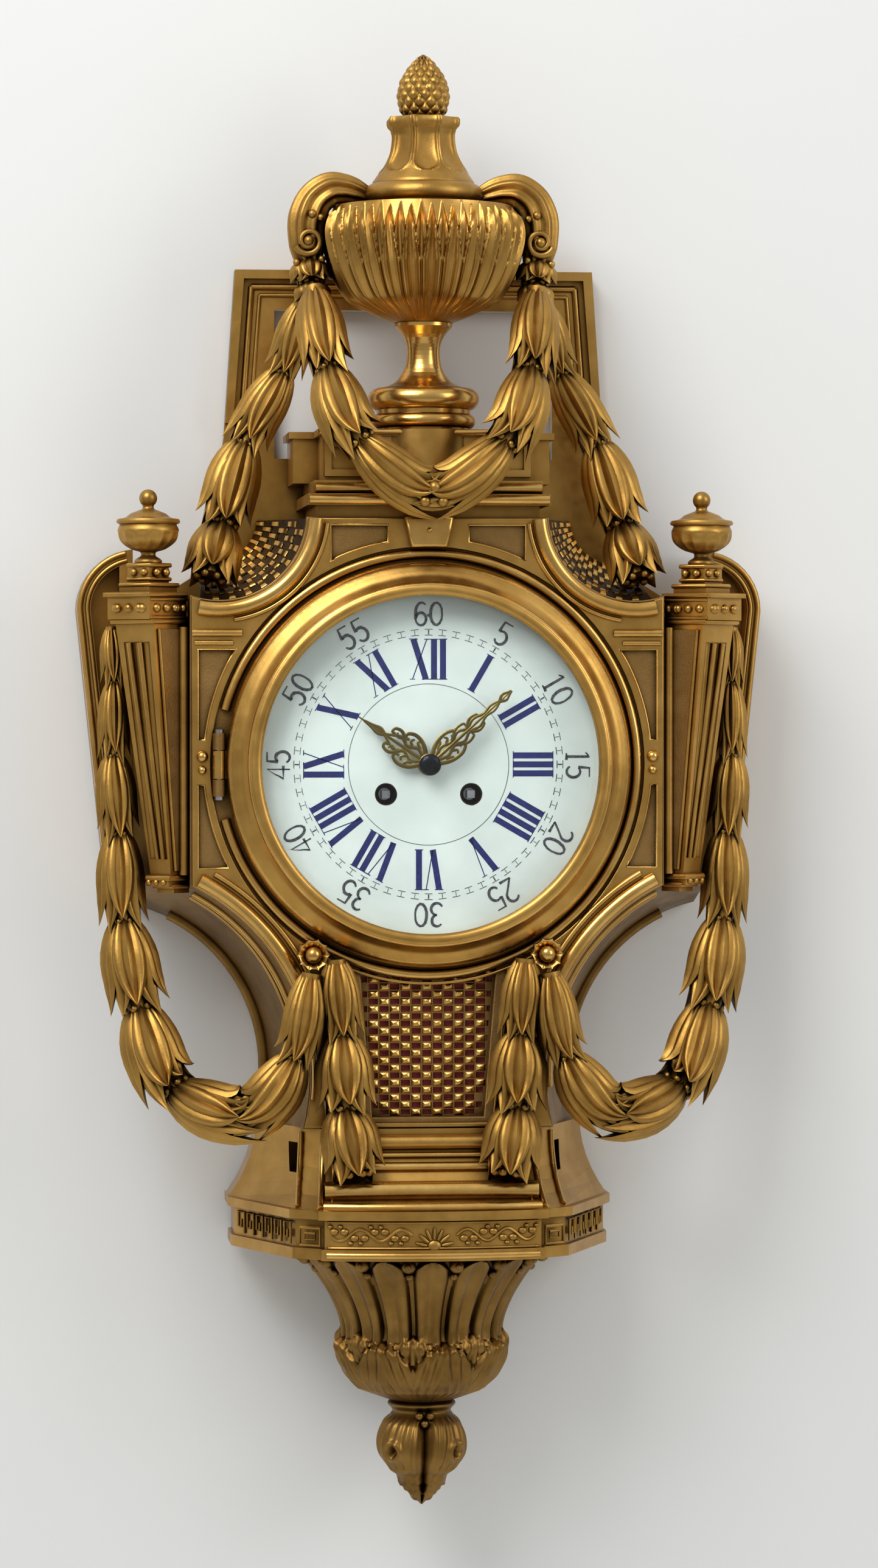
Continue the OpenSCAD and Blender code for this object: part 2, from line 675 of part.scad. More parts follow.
module urn_handle() {
    count = len(handle_path);
    rings = [for (i = [0:count - 1])
        let (p = handle_path[i], v = handle_path[min(i + 1, count - 1)] - handle_path[max(i - 1, 0)],
            n = [v[1], -v[0]] / norm(v), r = 3.2 + 2.2 * sin(180 * i / (count - 1)))
        [for (k = [0:7]) [p[0] + r * cos(45 * k) * n[0], r * sin(45 * k), p[1] + r * cos(45 * k) * n[1]]]];
    translate([0, -urn_d, urn_foot]) {
        loft(rings);
        rod([handle_low[0] - 14, 0, handle_low[1]], [handle_low[0] + 1, 0, handle_low[1]], 2);
        translate([handle_low[0], 0, handle_low[1]]) sphere(3.6);
    }
}
module urn_handle_right() {
    on_wall() color(gilt) urn_handle();
}
module urn_handle_left() {
    on_wall() color(gilt) mirror([1, 0, 0]) urn_handle();
}

// Point at the place u along the line p, which holds x, depth and height
function along(p, u) =
    let (last = len(p) - 1, i = min(floor(u), last - 1))
    curve(p[max(i - 1, 0)], p[i], p[i + 1], p[min(i + 2, last)], u - i);
function unit(v) = v / norm(v);
// Ring of radius r across the line p at the place u, with a lobe for each leaf
function husk_ring(p, u, r) =
    let (ahead = along(p, min(u + 0.05, len(p) - 1)) - along(p, max(u - 0.05, 0)),
        v = unit([ahead[0], -ahead[1], ahead[2]]), e = unit(cross([0, 1, 0], v)), f = cross(v, e),
            c = along(p, u))
    [for (k = [0:2 * husk_n - 1])
        let (w = r * (k % 2 == 0 ? 1 : 0.74), a = 180 * k / husk_n)
        [c[0], -c[1], c[2]] + w * (cos(a) * e + sin(a) * f)];
// Chain of husks along the line p, one of each size; the husks after the first few, fore, look back
module swag(p, sizes, fore) {
    top = len(husk_shape) - 1;
    loft([for (i = [0:len(sizes) - 1], k = [0:top])
        let (s = i < fore ? husk_shape[k] : [1 - husk_shape[top - k][0], husk_shape[top - k][1]])
        husk_ring(p, i + s[0], s[1] * husk_r * sizes[i])]);
}
// Stud that holds a swag, from depth a to depth b
module stud(x, a, b, z) {
    slab(a, b) translate([x, z]) circle(2, $fn = 8);
}
function mirrored(p) = [for (q = p) [-q[0], q[1], q[2]]];
module crest_swag() {
    hook = crest_line[2];
    on_wall() color(gilt) {
        swag(crest_line, crest_sizes, 3);
        pair() stud(hook[0], urn_d + 21 + panel_rise, hook[1], hook[2]);
    }
}
module shoulder_swag(p) {
    swag(p, shoulder_sizes, len(p));
    stud(p[2][0], frame_t, p[2][1], p[2][2]);
}
module shoulder_swag_right() {
    on_wall() color(gilt) shoulder_swag(shoulder_line);
}
module shoulder_swag_left() {
    on_wall() color(gilt) mirror([1, 0, 0]) shoulder_swag(shoulder_line);
}
module side_swag(p) {
    swag(p, side_sizes, 7);
    stud(p[2][0], wing_d - 14, p[2][1], p[2][2]);
}
module side_swag_right() {
    on_wall() color(gilt) side_swag(side_line);
}
module side_swag_left() {
    on_wall() color(gilt) mirror([1, 0, 0]) side_swag(side_line);
}
module apron_drop(p) {
    swag(p, drop_sizes, len(p));
    stud(p[1][0], border_d, p[1][1], p[1][2]);
}
module apron_drop_right() {
    on_wall() color(gilt) apron_drop(drop_line);
}
module apron_drop_left() {
    on_wall() color(gilt) mirror([1, 0, 0]) apron_drop(drop_line);
}
module swag_buttons() {
    on_wall() color(gilt) pair() faced(button_at)
        polygon(concat([[0, border_d]], [[3, border_d], [3, case_d + 9]],
        smooth([[7, case_d + 9], [7, case_d + 12], [4, case_d + 14], [0, case_d + 15]])));
}

// Ring of the waist: back half width w, front half width f, front depth d, height z
function waist_ring(w, f, d, z) = [[w, -frame_t, z], [-w, -frame_t, z], [-w, -30, z], [-f - 9, -d + 12, z],
    [-f, -d, z],
    [f, -d, z], [f + 9, -d + 12, z], [w, -30, z]];
function waist_rings(t) = [for (i = [0:6])
    let (s = 1 - i / 6, w = frieze_half - 12 + 12 * s * s - t, f = frieze_front - 3 + 3 * s * s - t,
        d = case_d + 2 + (frieze_d - case_d - 8) * s * s * s - t)
    waist_ring(w, f, d, waist_z + waist_h * i / 6)];
module waist() {
    on_wall() color(gilt) {
        difference() {
            loft(waist_rings(0));
            translate([0, 0.1, -wall_t]) loft(waist_rings(wall_t));
            pair() block([57, -case_d, waist_z + 14], [61, -20, waist_z + 27]);
        }
        pair() rod([0, -case_d - 3, -front_drop - 6], [44, -case_d - 3, -front_drop - 6], 3.4);
    }
}
// Plan of the frieze, grown by g, with its front bowed
module frieze_plan(g) {
    bow = 4 * frieze_front;
    edge = frieze_half + g;
    front = frieze_front + g;
    side = 0.33 * frieze_d;
    right = [[front, -frieze_d - 10], [front, -frieze_d + 10 - g], [front + 12, -frieze_d + 18 - g],
        [edge, -side], [edge, -frame_t]];
    intersection() {
        polygon(concat(right, reversed([for (q = right) [-q[0], q[1]]])));
        translate([0, bow - frieze_d]) circle(bow + g);
    }
}
module frieze() {
    on_wall() color(gilt) difference() {
        union() {
            translate([0, 0, waist_z - 4]) linear_extrude(4) frieze_plan(1);
            translate([0, 0, frieze_z + 4]) linear_extrude(frieze_h - 7) frieze_plan(-2);
            translate([0, 0, frieze_z]) linear_extrude(5) frieze_plan(-0.5);
        }
        translate([0, 0, frieze_z + 5]) linear_extrude(frieze_h) frieze_plan(-7);
    }
}
function culot_curve(t) = smooth([[culot_r - t, 0], [0.84 * culot_r - t, -0.15 * culot_h],
    [0.7 * culot_r - t, -0.33 * culot_h],
    [0.62 * culot_r - t, -0.5 * culot_h], [0.61 * culot_r - t, -0.65 * culot_h],
        [0.56 * culot_r - t, -0.82 * culot_h],
    [0.46 * culot_r - t, -0.92 * culot_h]]);
module culot() {
    on_wall() color(gilt) translate([0, 0, frieze_z]) difference() {
        union() {
            upright(culot_d) polygon(concat([[culot_r - wall_t, 0]], culot_curve(0),
                [[15, -culot_h], [0, -culot_h],
                [0, -culot_h + wall_t]], reversed(culot_curve(wall_t))));
            for (i = [-4:4]) translate([0, -culot_d, 0]) rotate([0, 0, 270 + 22 * i - 5])
                rotate_extrude(angle = 10)
                polygon(concat(culot_curve(-2), reversed(culot_curve(2))));
        }
        block([-100, -2, -culot_h - 5], [100, 60, 5]);
    }
}
// Ring of the bud at the share s of its height, with a lobe for each of its six leaves
function bud_ring(r, s, lobe) = [for (k = [0:11])
    let (w = bud_r * r * (k % 2 == 0 ? 1 : lobe)) [w * cos(30 * k), w * sin(30 * k), -s * bud_h]];
module bottom_finial() {
    on_wall() color(gilt) translate([0, -culot_d, culot_z]) {
        rotate_extrude() polygon([[0, 0], [14, 0], [15.5, -2], [14, -4], [12, -5], [12, -8], [0, -8]]);
        loft([bud_ring(0.08, 1, 0.9), bud_ring(0.26, 0.9, 0.9), bud_ring(0.5, 0.8, 0.85),
            bud_ring(0.82, 0.72, 0.8), bud_ring(0.92, 0.6, 0.84), bud_ring(1, 0.44, 0.86),
            bud_ring(0.92, 0.26, 0.86), bud_ring(0.66, 0.12, 0.9)]);
    }
}

module dial() {
    on_wall() color([0.93, 0.94, 0.92]) slab(case_d, dial_front) difference() {
        circle(dial_r + 2);
        circle(4.6);
        pair() translate(going_at) circle(5);
    }
}
module bezel() {
    back = case_d + gap;
    front = case_d + bezel_h;
    on_wall() color(gilt) {
        difference() {
            union() {
                faced([0, 0]) {
                    polygon([[dial_r + 3, back], [bezel_r, back], [bezel_r, back + 5],
                        [bezel_r - 7, back + 6], [dial_r + 5, front - 4],
                        [dial_r + 4, front], [dial_r, front], [dial_r, front - 4],
                            [dial_r + 3, front - 4]]);
                    translate([bezel_r - 4.5, back + 5]) circle(4.5);
                    translate([dial_r + 3.5, front - 2]) circle(2.8);
                }
                translate([hinge_x, -hinge_d, -knuckle_r * 2.2])
                    cylinder(h = knuckle_r * 4.4, r = knuckle_r);
                block([hinge_x, -hinge_d, -knuckle_r * 2.2],
                    [-bezel_r + 4, -hinge_d + 2.5, knuckle_r * 2.2]);
            }
            translate([hinge_x, -hinge_d, -knuckle_r * 3]) cylinder(h = knuckle_r * 6, r = pin_r + fit);
            faced([0, 0]) square([dial_r + 2.6, front - 4]);
        }
    }
}
module bezel_glass() {
    r = dial_r + 2.5;
    edge = case_d + bezel_h - 4;
    ball = (r * r + glass_rise * glass_rise) / (2 * glass_rise);
    on_wall() color([0.8, 0.86, 0.88, 0.3]) faced([0, 0]) {
        polygon(concat([[dial_r + 2.5, edge - glass_t], [dial_r + 2.5, edge], [dial_r - gap, edge]],
            [for (i = [1:12]) let (x = (dial_r - gap) * (1 - i / 12)) [x,
                edge + sqrt(ball * ball - x * x) - sqrt(ball * ball - r * r)]],
            [for (i = [0:12]) let (x = r * i / 12) [x,
                edge - glass_t + sqrt(ball * ball - x * x) - sqrt(ball * ball - r * r)]]));
    }
}
module hinge_pin() {
    end = knuckle_r * 5;
    on_wall() color(brass) translate([hinge_x, -hinge_d, 0]) {
        cylinder(h = 2 * end, r = pin_r, center = true);
        translate([0, 0, end]) cylinder(h = 1.6, r = 2);
        translate([0, 0, -end - 1.6]) cylinder(h = 1.6, r = 2);
    }
}

// Pierced hand of length l and half width w, pointing up
module hand_shape(l, w, bore) {
    side = smooth([[1.6, 3], [1.2, 0.16 * l], [w, 0.3 * l], [w * 0.9, 0.42 * l], [1.3, 0.52 * l],
        [w * 0.62, 0.64 * l],
        [0.8, 0.76 * l], [0.9, 0.84 * l], [0.2, l]], 3);
    difference() {
        union() {
            circle(w * 1.1);
            polygon(concat(side, [for (p = reversed(side)) [-p[0], p[1]]]));
        }
        circle(bore);
        translate([0, 0.35 * l]) scale([0.55, 1.5]) circle(w * 0.8);
        translate([0, 0.63 * l]) scale([0.5, 1.6]) circle(w * 0.4);
    }
}
module minute_hand() {
    on_wall() color(gilt) slab(minute_d, minute_d + 1) rotate(-6 * (shown_time % 60))
        hand_shape(minute_l, 4.2, 1.5 + fit);
}
module hour_hand() {
    on_wall() color(gilt) slab(minute_d - 3, minute_d - 2) rotate(-shown_time / 2)
        hand_shape(hour_l, 5, 3.2 + fit);
}
module hand_nut() {
    on_wall() color([0.1, 0.1, 0.1]) slab(minute_d + 1, minute_d + 3) difference() {
        circle(2.8);
        circle(1 + fit);
    }
}
module cannon_pinion() {
    on_wall() color(brass) {
        slab(plate_front + 1, plate_front + 4) difference() {
            pinion(cannon_teeth, 2 * motion_reach / (cannon_teeth + minute_teeth), way([0, 0], minute_at));
            circle(1.2 + fit);
        }
        slab(plate_front + 3.5, minute_d) difference() {
            circle(2);
            circle(1.2 + fit);
        }
        slab(minute_d - 0.5, minute_d + 1) circle(1.5);
        slab(minute_d, minute_d + 3) circle(1);
    }
}
module hour_wheel() {
    on_wall() color(brass) {
        slab(plate_front + 5, plate_front + 6.5) difference() {
            wheel(hour_teeth, 2 * motion_reach / (minute_pinion + hour_teeth), way([0, 0], minute_at));
            circle(2 + fit);
        }
        slab(plate_front + 6, minute_d - 2) difference() {
            circle(3.2);
            circle(2 + fit);
        }
    }
}
module minute_wheel() {
    m = 2 * motion_reach / (cannon_teeth + minute_teeth);
    on_wall() color(brass) slab(plate_front + 1.5, plate_front + 3.5) translate(minute_at) difference() {
        wheel(minute_teeth, m, 90 + 180 / minute_teeth);
        circle(1.2 + fit);
    }
    on_wall() color(steel) slab(plate_front + 3, plate_front + 7) translate(minute_at) difference() {
        pinion(minute_pinion, 2 * motion_reach / (minute_pinion + hour_teeth), 90 + 180 / minute_pinion);
        circle(1.2 + fit);
    }
}

// Pivot holes that both movement plates have
module pivot_holes() {
    for (p = pivots) translate(p[0]) circle(p[1] + fit);
}
module front_plate() {
    on_wall() color(brass) {
        slab(plate_in, plate_front) difference() {
            circle(plate_r);
            pivot_holes();
            circle(1.2 + fit);
            pair() translate(going_at) circle(2.5 + fit);
        }
        slab(plate_front - 0.5, plate_front + 8) translate(minute_at) circle(1.2);
        for (a = [30, 150, 270]) slab(plate_front - 0.5, case_d) translate(spot(plate_r - 5, a))
            circle(1.5);
    }
}
module back_plate() {
    arm = bell_at + [17, -13];
    on_wall() color(brass) {
        slab(back_out, back_in) difference() {
            circle(plate_r);
            pivot_holes();
            circle(1 + fit);
            pair() translate(going_at) circle(1.5 + fit);
        }
        slab(bell_d - 6, back_out + 0.5) translate(arm) circle(2.5);
        slab(bell_d - 6, bell_d - 4) polygon([arm + [-2, -2], arm + [2, 2], bell_at + [2, 3],
            bell_at + [-3, -2]]);
        slab(bell_d - 15, bell_d - 4) translate(bell_at) circle(1.8);
        slab(bell_d - 15, bell_d - 13.2) translate(bell_at) circle(4, $fn = 6);
        slab(back_out - 3, back_out + 0.5) translate(hammer_at * 0.86) circle(1.2);
    }
}
module plate_pillars() {
    on_wall() color(brass) for (p = pillar_spots) faced(p)
        polygon([[0, back_in], [3.4, back_in], [2.6, back_in + 4], [3.2, (back_in + plate_in) / 2],
        [2.6, plate_in - 4], [3.4, plate_in], [0, plate_in]]);
}
module mounting_lugs() {
    on_wall() color(brass) pair() slab(plate_front, front_back) difference() {
        translate([plate_r - 7, -5]) square([29, 10]);
        translate([plate_r + 16, 0]) circle(1.5 + fit);
        translate([plate_r - 4, 0]) circle(1.5 + fit);
    }
}
module lug_screws() {
    on_wall() color(steel) pair() {
        slab(plate_front - 1.6, plate_front) translate([plate_r + 16, 0]) circle(2.8);
        slab(plate_front - 0.5, front_back) translate([plate_r + 16, 0]) circle(1.5);
        slab(front_back, front_back + 1.6) translate([plate_r - 4, 0]) circle(2.8);
        slab(plate_front, front_back + 0.5) translate([plate_r - 4, 0]) circle(1.5);
    }
}
// Barrel with its great wheel at depth w, and its drum from depth a to depth b
module barrel(at, to, w, a, b) {
    on_wall() color(brass) difference() {
        union() {
            slab(w, w + 2) translate(at) rotate(way(at, to))
                polygon(teeth(great_teeth, great_m, 0.16, 0.42, 0.56, 0.8, 1.1));
            slab(a, b) translate(at) circle(drum_r);
        }
        slab(w - 30, w + 30) translate(at) circle(2.5 + fit);
        slab(a + 2, b - 2) translate(at) circle(drum_r - 2);
    }
}
module going_barrel() {
    barrel(going_at, [0, 0], back_in + 2.5, back_in + 4, plate_in - 6);
}
module strike_barrel() {
    barrel(strike_at, pin_at, plate_in - 5, back_in + 6, plate_in - 4);
}
module winding_arbor(at) {
    on_wall() color(steel) translate([at[0], 0, at[1]]) {
        slab(back_out + 0.3, back_in + gap) circle(1.5);
        slab(back_in + gap, plate_front + 1) circle(2.5);
        slab(plate_front + 0.6, plate_front + 2.2) circle(6);
        slab(plate_front + 1, case_d + 1) square(3.4, center = true);
    }
}
module going_arbor() {
    winding_arbor(going_at);
}
module strike_arbor() {
    winding_arbor(strike_at);
}
// Arbor of radius r, with a pivot of radius p in each plate
module arbor(at, r, p) {
    slab(back_out + 0.3, plate_front - 0.3) translate(at) circle(p);
    slab(back_in + gap, plate_in - gap) translate(at) circle(r);
}
module centre_wheel() {
    on_wall() color(brass) slab(plate_in - 2, plate_in - 1) wheel(centre_teeth, centre_m, third_dir);
    on_wall() color(steel) {
        slab(back_in + 2, back_in + 5) pinion(great_pinion, great_m,
            way([0, 0], going_at) + 180 / great_pinion);
        arbor([0, 0], 1.5, 1);
        slab(plate_in - 1, minute_d - 0.8) circle(1);
        slab(plate_in - 1, plate_front + 0.6) circle(1.2);
    }
}
module third_wheel() {
    on_wall() color(brass) slab(back_in + 6.5, back_in + 7.7) translate(third_at)
        wheel(third_teeth, third_m, way(third_at, escape_at));
    on_wall() color(steel) {
        slab(plate_in - 2.5, plate_in - 0.6) translate(third_at)
            pinion(third_pinion, centre_m, third_dir + 180 + 180 / third_pinion);
        arbor(third_at, 1.05, 1);
    }
}
module escape_wheel() {
    d = back_in + 12;
    on_wall() color(brass) slab(d, d + 1) translate(escape_at) difference() {
        polygon([for (i = [0:escape_teeth - 1]) each [spot(escape_r - 1.8, 9 * i),
            spot(escape_r, 9 * i + 3.4), spot(escape_r - 1.8, 9 * i + 4)]]);
        difference() {
            circle(escape_r - 3);
            circle(2.2);
            for (i = [0:4]) rotate(72 * i) translate([0, -0.6]) square([escape_r, 1.2]);
        }
    }
    on_wall() color(steel) {
        slab(back_in + 5.5, back_in + 9) translate(escape_at)
            pinion(escape_pinion, third_m, way(escape_at, third_at) + 180 / escape_pinion);
        arbor(escape_at, 0.75, 0.6);
    }
}
// Pallets on their arbor, with the crutch that drives the pendulum
module pallets() {
    d = back_in + 11.5;
    tip = escape_r + 1.1;
    on_wall() color(steel) {
        slab(d, d + 2) difference() {
            union() {
                translate(pallet_at) circle(3);
                polygon([pallet_at + [-2.5, 1], pallet_at + [2.5, 1], escape_at + [11, 8.6],
                    escape_at + spot(tip, 34), escape_at + [6.6, 10.6],
                    escape_at + [-6.6, 10.6], escape_at + spot(tip, 146), escape_at + [-11, 8.6]]);
            }
            translate(escape_at) circle(tip);
        }
        slab(back_out - 3, plate_front - 0.3) translate(pallet_at) circle(1);
        slab(back_in + gap, plate_in - gap) translate(pallet_at) circle(1.5);
        slab(back_out - 3, back_out - 1.5) translate(pallet_at) {
            circle(3);
            translate([-0.8, -38]) square([1.6, 38]);
            translate([-3.4, -41]) square([6.8, 3]);
        }
        pair() slab(pendulum_d - 1, back_out - 2) translate(pallet_at + [2, -41]) square([1.4, 3]);
    }
}
module suspension_cock() {
    rear = pendulum_d - 3;
    on_wall() color(brass) {
        slab(rear - 2, rear) translate(pallet_at + [-11, -5]) square([22, 12]);
        pair() slab(rear - 1, back_out) translate(pallet_at + [8, -5]) square([3, 5]);
        slab(rear - 0.5, pendulum_d + 1.6) translate(pallet_at) circle(1.5);
    }
}
module pendulum() {
    on_wall() color(brass) {
        slab(pendulum_d - 1, pendulum_d + 1) translate(pallet_at) difference() {
            union() {
                circle(3);
                translate([-1, -pendulum_l]) square([2, pendulum_l]);
            }
            circle(1.5 + fit);
        }
        faced(pallet_at - [0, pendulum_l]) polygon(concat([[0, pendulum_d - 4]],
            smooth([[bob_r - 6, pendulum_d - 4], [bob_r, pendulum_d], [bob_r - 6, pendulum_d + 4]]),
                [[0, pendulum_d + 4]]));
        slab(pendulum_d - 2, pendulum_d + 2) translate(pallet_at - [0, pendulum_l + bob_r + 4]) circle(3.5);
        slab(pendulum_d - 1, pendulum_d + 1) translate(pallet_at - [1, pendulum_l + bob_r + 4])
            square([2, 10]);
    }
}
module pin_wheel() {
    on_wall() color(brass) {
        slab(back_in + 1.5, back_in + 3) translate(pin_at) wheel(pin_teeth, pin_m, 0);
        for (i = [0:9]) slab(back_in + 2.5, back_in + 5)
            translate(pin_at + spot(0.45 * pin_teeth * pin_m, 36 * i)) circle(0.6);
    }
    on_wall() color(steel) {
        slab(plate_in - 5.5, plate_in - 2.5) translate(pin_at)
            pinion(great_pinion, great_m, way(pin_at, strike_at) + 180 / great_pinion);
        arbor(pin_at, 1.5, 1);
    }
}
// Hammer on its stud behind the back plate, at rest beside the rim of the bell
module hammer() {
    at = hammer_at * 0.86;
    head = bell_at + spot(bell_r + 5.2, 172);
    on_wall() color(steel) {
        slab(back_out - 2.5, back_out - 0.6) difference() {
            union() {
                translate(at) circle(3);
                polygon([at + [-2, 0], at + [2, 0], head + [1, 0], head + [-1, 0]]);
            }
            translate(at) circle(1.2 + fit);
        }
        slab(bell_d - 5, back_out - 0.6) translate(head) circle(3.4);
    }
}
module bell() {
    curve = smooth([[bell_r, 0], [0.86 * bell_r, -7], [0.66 * bell_r, -14], [0.3 * bell_r, -17],
        [2, -17.5]]);
    outer = [for (p = curve) [p[0], bell_d + p[1] * 0.75]];
    on_wall() color(brass) faced(bell_at)
        polygon(concat(outer, reversed([for (p = outer) [max(p[0] - 1.8, 2), p[1] + 1.6]])));
}

back_frame();
case_front();
case_walls();
upper_grilles();
apron_grille();
grille_silk();
pilaster_left();
pilaster_right();
corner_urn_left();
corner_urn_right();
side_wing_left();
side_wing_right();
pedestal();
urn_socle();
urn_bowl();
urn_cover();
pinecone_finial();
urn_handle_left();
urn_handle_right();
urn_tie_rod();
crest_swag();
shoulder_swag_left();
shoulder_swag_right();
side_swag_left();
side_swag_right();
apron_drop_left();
apron_drop_right();
swag_buttons();
waist();
frieze();
culot();
bottom_finial();
dial();
bezel();
bezel_glass();
hinge_pin();
minute_hand();
hour_hand();
hand_nut();
cannon_pinion();
minute_wheel();
hour_wheel();
front_plate();
back_plate();
plate_pillars();
mounting_lugs();
lug_screws();
going_barrel();
strike_barrel();
going_arbor();
strike_arbor();
centre_wheel();
third_wheel();
escape_wheel();
pallets();
suspension_cock();
pendulum();
pin_wheel();
hammer();
bell();
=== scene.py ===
# %% [markdown]
# # A gilt bronze cartel clock
# A cartel is a wall clock whose whole case is cast, chased and gilded bronze. This lesson
# dresses the solid model of one: the solids give the sizes and the moving bodies, and the
# cells below add the chasing, the leaves, the dial and the finishes.

import math

import bmesh
import bpy
import numpy as np
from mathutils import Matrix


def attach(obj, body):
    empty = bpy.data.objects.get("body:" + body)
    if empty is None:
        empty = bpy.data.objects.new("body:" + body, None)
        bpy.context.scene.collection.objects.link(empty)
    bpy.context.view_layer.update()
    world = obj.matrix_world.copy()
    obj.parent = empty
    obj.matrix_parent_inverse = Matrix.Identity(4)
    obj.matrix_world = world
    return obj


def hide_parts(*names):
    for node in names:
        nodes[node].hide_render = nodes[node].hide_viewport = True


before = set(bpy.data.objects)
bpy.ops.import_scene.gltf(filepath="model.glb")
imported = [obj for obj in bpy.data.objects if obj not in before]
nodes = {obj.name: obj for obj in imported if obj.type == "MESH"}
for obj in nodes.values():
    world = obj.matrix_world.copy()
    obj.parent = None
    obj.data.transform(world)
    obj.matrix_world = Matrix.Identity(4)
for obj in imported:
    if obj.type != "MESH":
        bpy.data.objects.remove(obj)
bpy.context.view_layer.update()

# %% [markdown]
# ## Where things are
# A clockmaker measures in millimetres from the middle of the dial and from the wall: across,
# out from the wall, and up. The frame measures in metres from the hanging hole. Every object
# could be scaled and moved to bridge the two, but a mesh that is built in its place carries no
# hidden transform, so one function turns a clockmaker's points into points of the frame.

# %% Points in the frame
HANGING_HOLE = 216.0  # height of the hole above the middle of the dial


def placed(points):
    """Clockmaker's millimetres as metres of the frame."""
    p = np.asarray(points, float).reshape(-1, 3)
    return np.column_stack([p[:, 0], -p[:, 1], p[:, 2] - HANGING_HOLE]) / 1000


print("dial centre:", placed([0, 80, 0])[0])

# %% [markdown]
# ## Colours and nodes
# Colours are read off the photograph as sRGB hex values, and a shader works in linear light,
# so one function converts them. Node trees could be drawn by hand in the shader editor, but a
# script that adds each node with its settings and links reads as a short recipe.


# %% Helpers for materials
def tint(code):
    """An sRGB hex colour in linear light."""
    steps = [int(code[i : i + 2], 16) / 255 for i in (1, 3, 5)]
    return [s / 12.92 if s <= 0.04045 else ((s + 0.055) / 1.055) ** 2.4 for s in steps] + [1.0]


def feed(tree, node, links):
    """Links from sources to the named sockets of a node."""
    for socket, source in dict(links).items():
        tree.links.new(source, node.inputs[socket])


def add(tree, kind, links=(), stops=(), **settings):
    """A node with its links and settings and, on a colour ramp, its (place, hex colour) stops."""
    node = tree.nodes.new(kind)
    for name, value in settings.items():
        key = name.replace("_", " ")
        if key in node.inputs:
            node.inputs[key].default_value = value
        else:
            setattr(node, name, value)
    for k, (place, code) in enumerate(stops):
        node.color_ramp.elements[k].position = place
        node.color_ramp.elements[k].color = tint(code)
    feed(tree, node, links)
    return node


def blank(name, **surface):
    """A new material with its node tree, its surface as set, and places on the object in metres."""
    mat = bpy.data.materials.new(name)
    mat.use_nodes = True
    tree = mat.node_tree
    skin = tree.nodes["Principled BSDF"]
    for socket, value in surface.items():
        skin.inputs[socket.replace("_", " ")].default_value = value
    return mat, tree, skin, add(tree, "ShaderNodeTexCoord").outputs["Object"]


print("gold in linear light:", [round(c, 3) for c in tint("#D9A441")])

# %% [markdown]
# ## Gilt bronze
# Cast bronze, chased with punches and fire-gilded. The gold was burnished with agate on the
# mouldings and left matt on the grounds and the leaves. One gold for everything would look like
# plastic, and a painted texture would need unwrapping, so one recipe of noises gives all the
# finishes. A metal's colour lives in its reflection: the base colour drifts between worn and
# full gilding, the fine noise is the punched grain, and a dark brown of old wax and painted shade
# fills the hollows, which an ambient occlusion node finds from the shape itself.

# %% Gilding
WEAR_SPREAD, RUB_SPREAD = 26, 7  # mm from worn to full gold, and between rubbed spots


def gilding(name, worn, full, wax_and_shade, rough, grain, depth, hollow):
    """Gilt bronze: three colours, a span of roughness, and the mm of its grain, dents and hollows."""
    mat, tree, metal, place = blank(name, Metallic=1.0)
    wear = add(tree, "ShaderNodeTexNoise", {"Vector": place}, Scale=1000 / WEAR_SPREAD,
               Detail=5.0, Roughness=0.6)
    gold = add(tree, "ShaderNodeValToRGB", {"Fac": wear.outputs["Fac"]}, ((0.34, worn), (0.66, full)))
    # Ambient occlusion mixes in the wax colour: partly old wax in the hollows, partly painted shade
    shade = add(tree, "ShaderNodeAmbientOcclusion", samples=6, Distance=hollow / 1000)
    depths = add(tree, "ShaderNodeMapRange", {"Value": shade.outputs["AO"]}, From_Min=0.25, From_Max=0.8)
    # The mixer's sockets 6 and 7 are its two colours, and its output 2 is the mixed one
    waxed_and_shaded = add(tree, "ShaderNodeMix", {"Factor": depths.outputs["Result"]}, data_type="RGBA")
    waxed_and_shaded.inputs[6].default_value = tint(wax_and_shade)
    feed(tree, waxed_and_shaded, {7: gold.outputs["Color"]})
    rub = add(tree, "ShaderNodeTexNoise", {"Vector": place}, Scale=1000 / RUB_SPREAD, Detail=4.0)
    gloss = add(tree, "ShaderNodeMapRange", {"Value": rub.outputs["Fac"]}, From_Min=0.3, From_Max=0.7,
                To_Min=rough[0], To_Max=rough[1])
    punch = add(tree, "ShaderNodeTexNoise", {"Vector": place}, Scale=1000 / grain, Detail=3.0)
    bump = add(tree, "ShaderNodeBump", {"Height": punch.outputs["Fac"]}, Strength=0.6, Distance=depth / 1000)
    feed(tree, metal, {"Base Color": waxed_and_shaded.outputs[2], "Roughness": gloss.outputs["Result"],
                       "Normal": bump.outputs["Normal"]})
    return mat


# Burnished gold mirrors broad soft lights, satin gold keeps a sheen, matt gold is grainy and brown
burnished_gilt = gilding("burnished_fire_gilding", "#C4974E", "#DEB468", "#5C3A12", (0.2, 0.31), 3.0, 0.03, 7)
satin_gilt = gilding("satin_fire_gilding", "#AE8440", "#C99D54", "#48290C", (0.29, 0.41), 1.6, 0.05, 11)
matt_gilt = gilding("matt_fire_gilding", "#9A7438", "#BA914A", "#301B07", (0.36, 0.50), 1.1, 0.10, 13)
ground_gilt = gilding("stippled_gilt_ground", "#8A6A3C", "#9E7D4C", "#38250E", (0.46, 0.60), 0.9, 0.22, 7)
# A near-black bronze paints the shade deep inside pierced hollows and winding holes
painted_shade_bronze = gilding("painted_shade_bronze", "#2E2012", "#453118", "#120B04", (0.5, 0.65), 0.9, 0.15, 6)
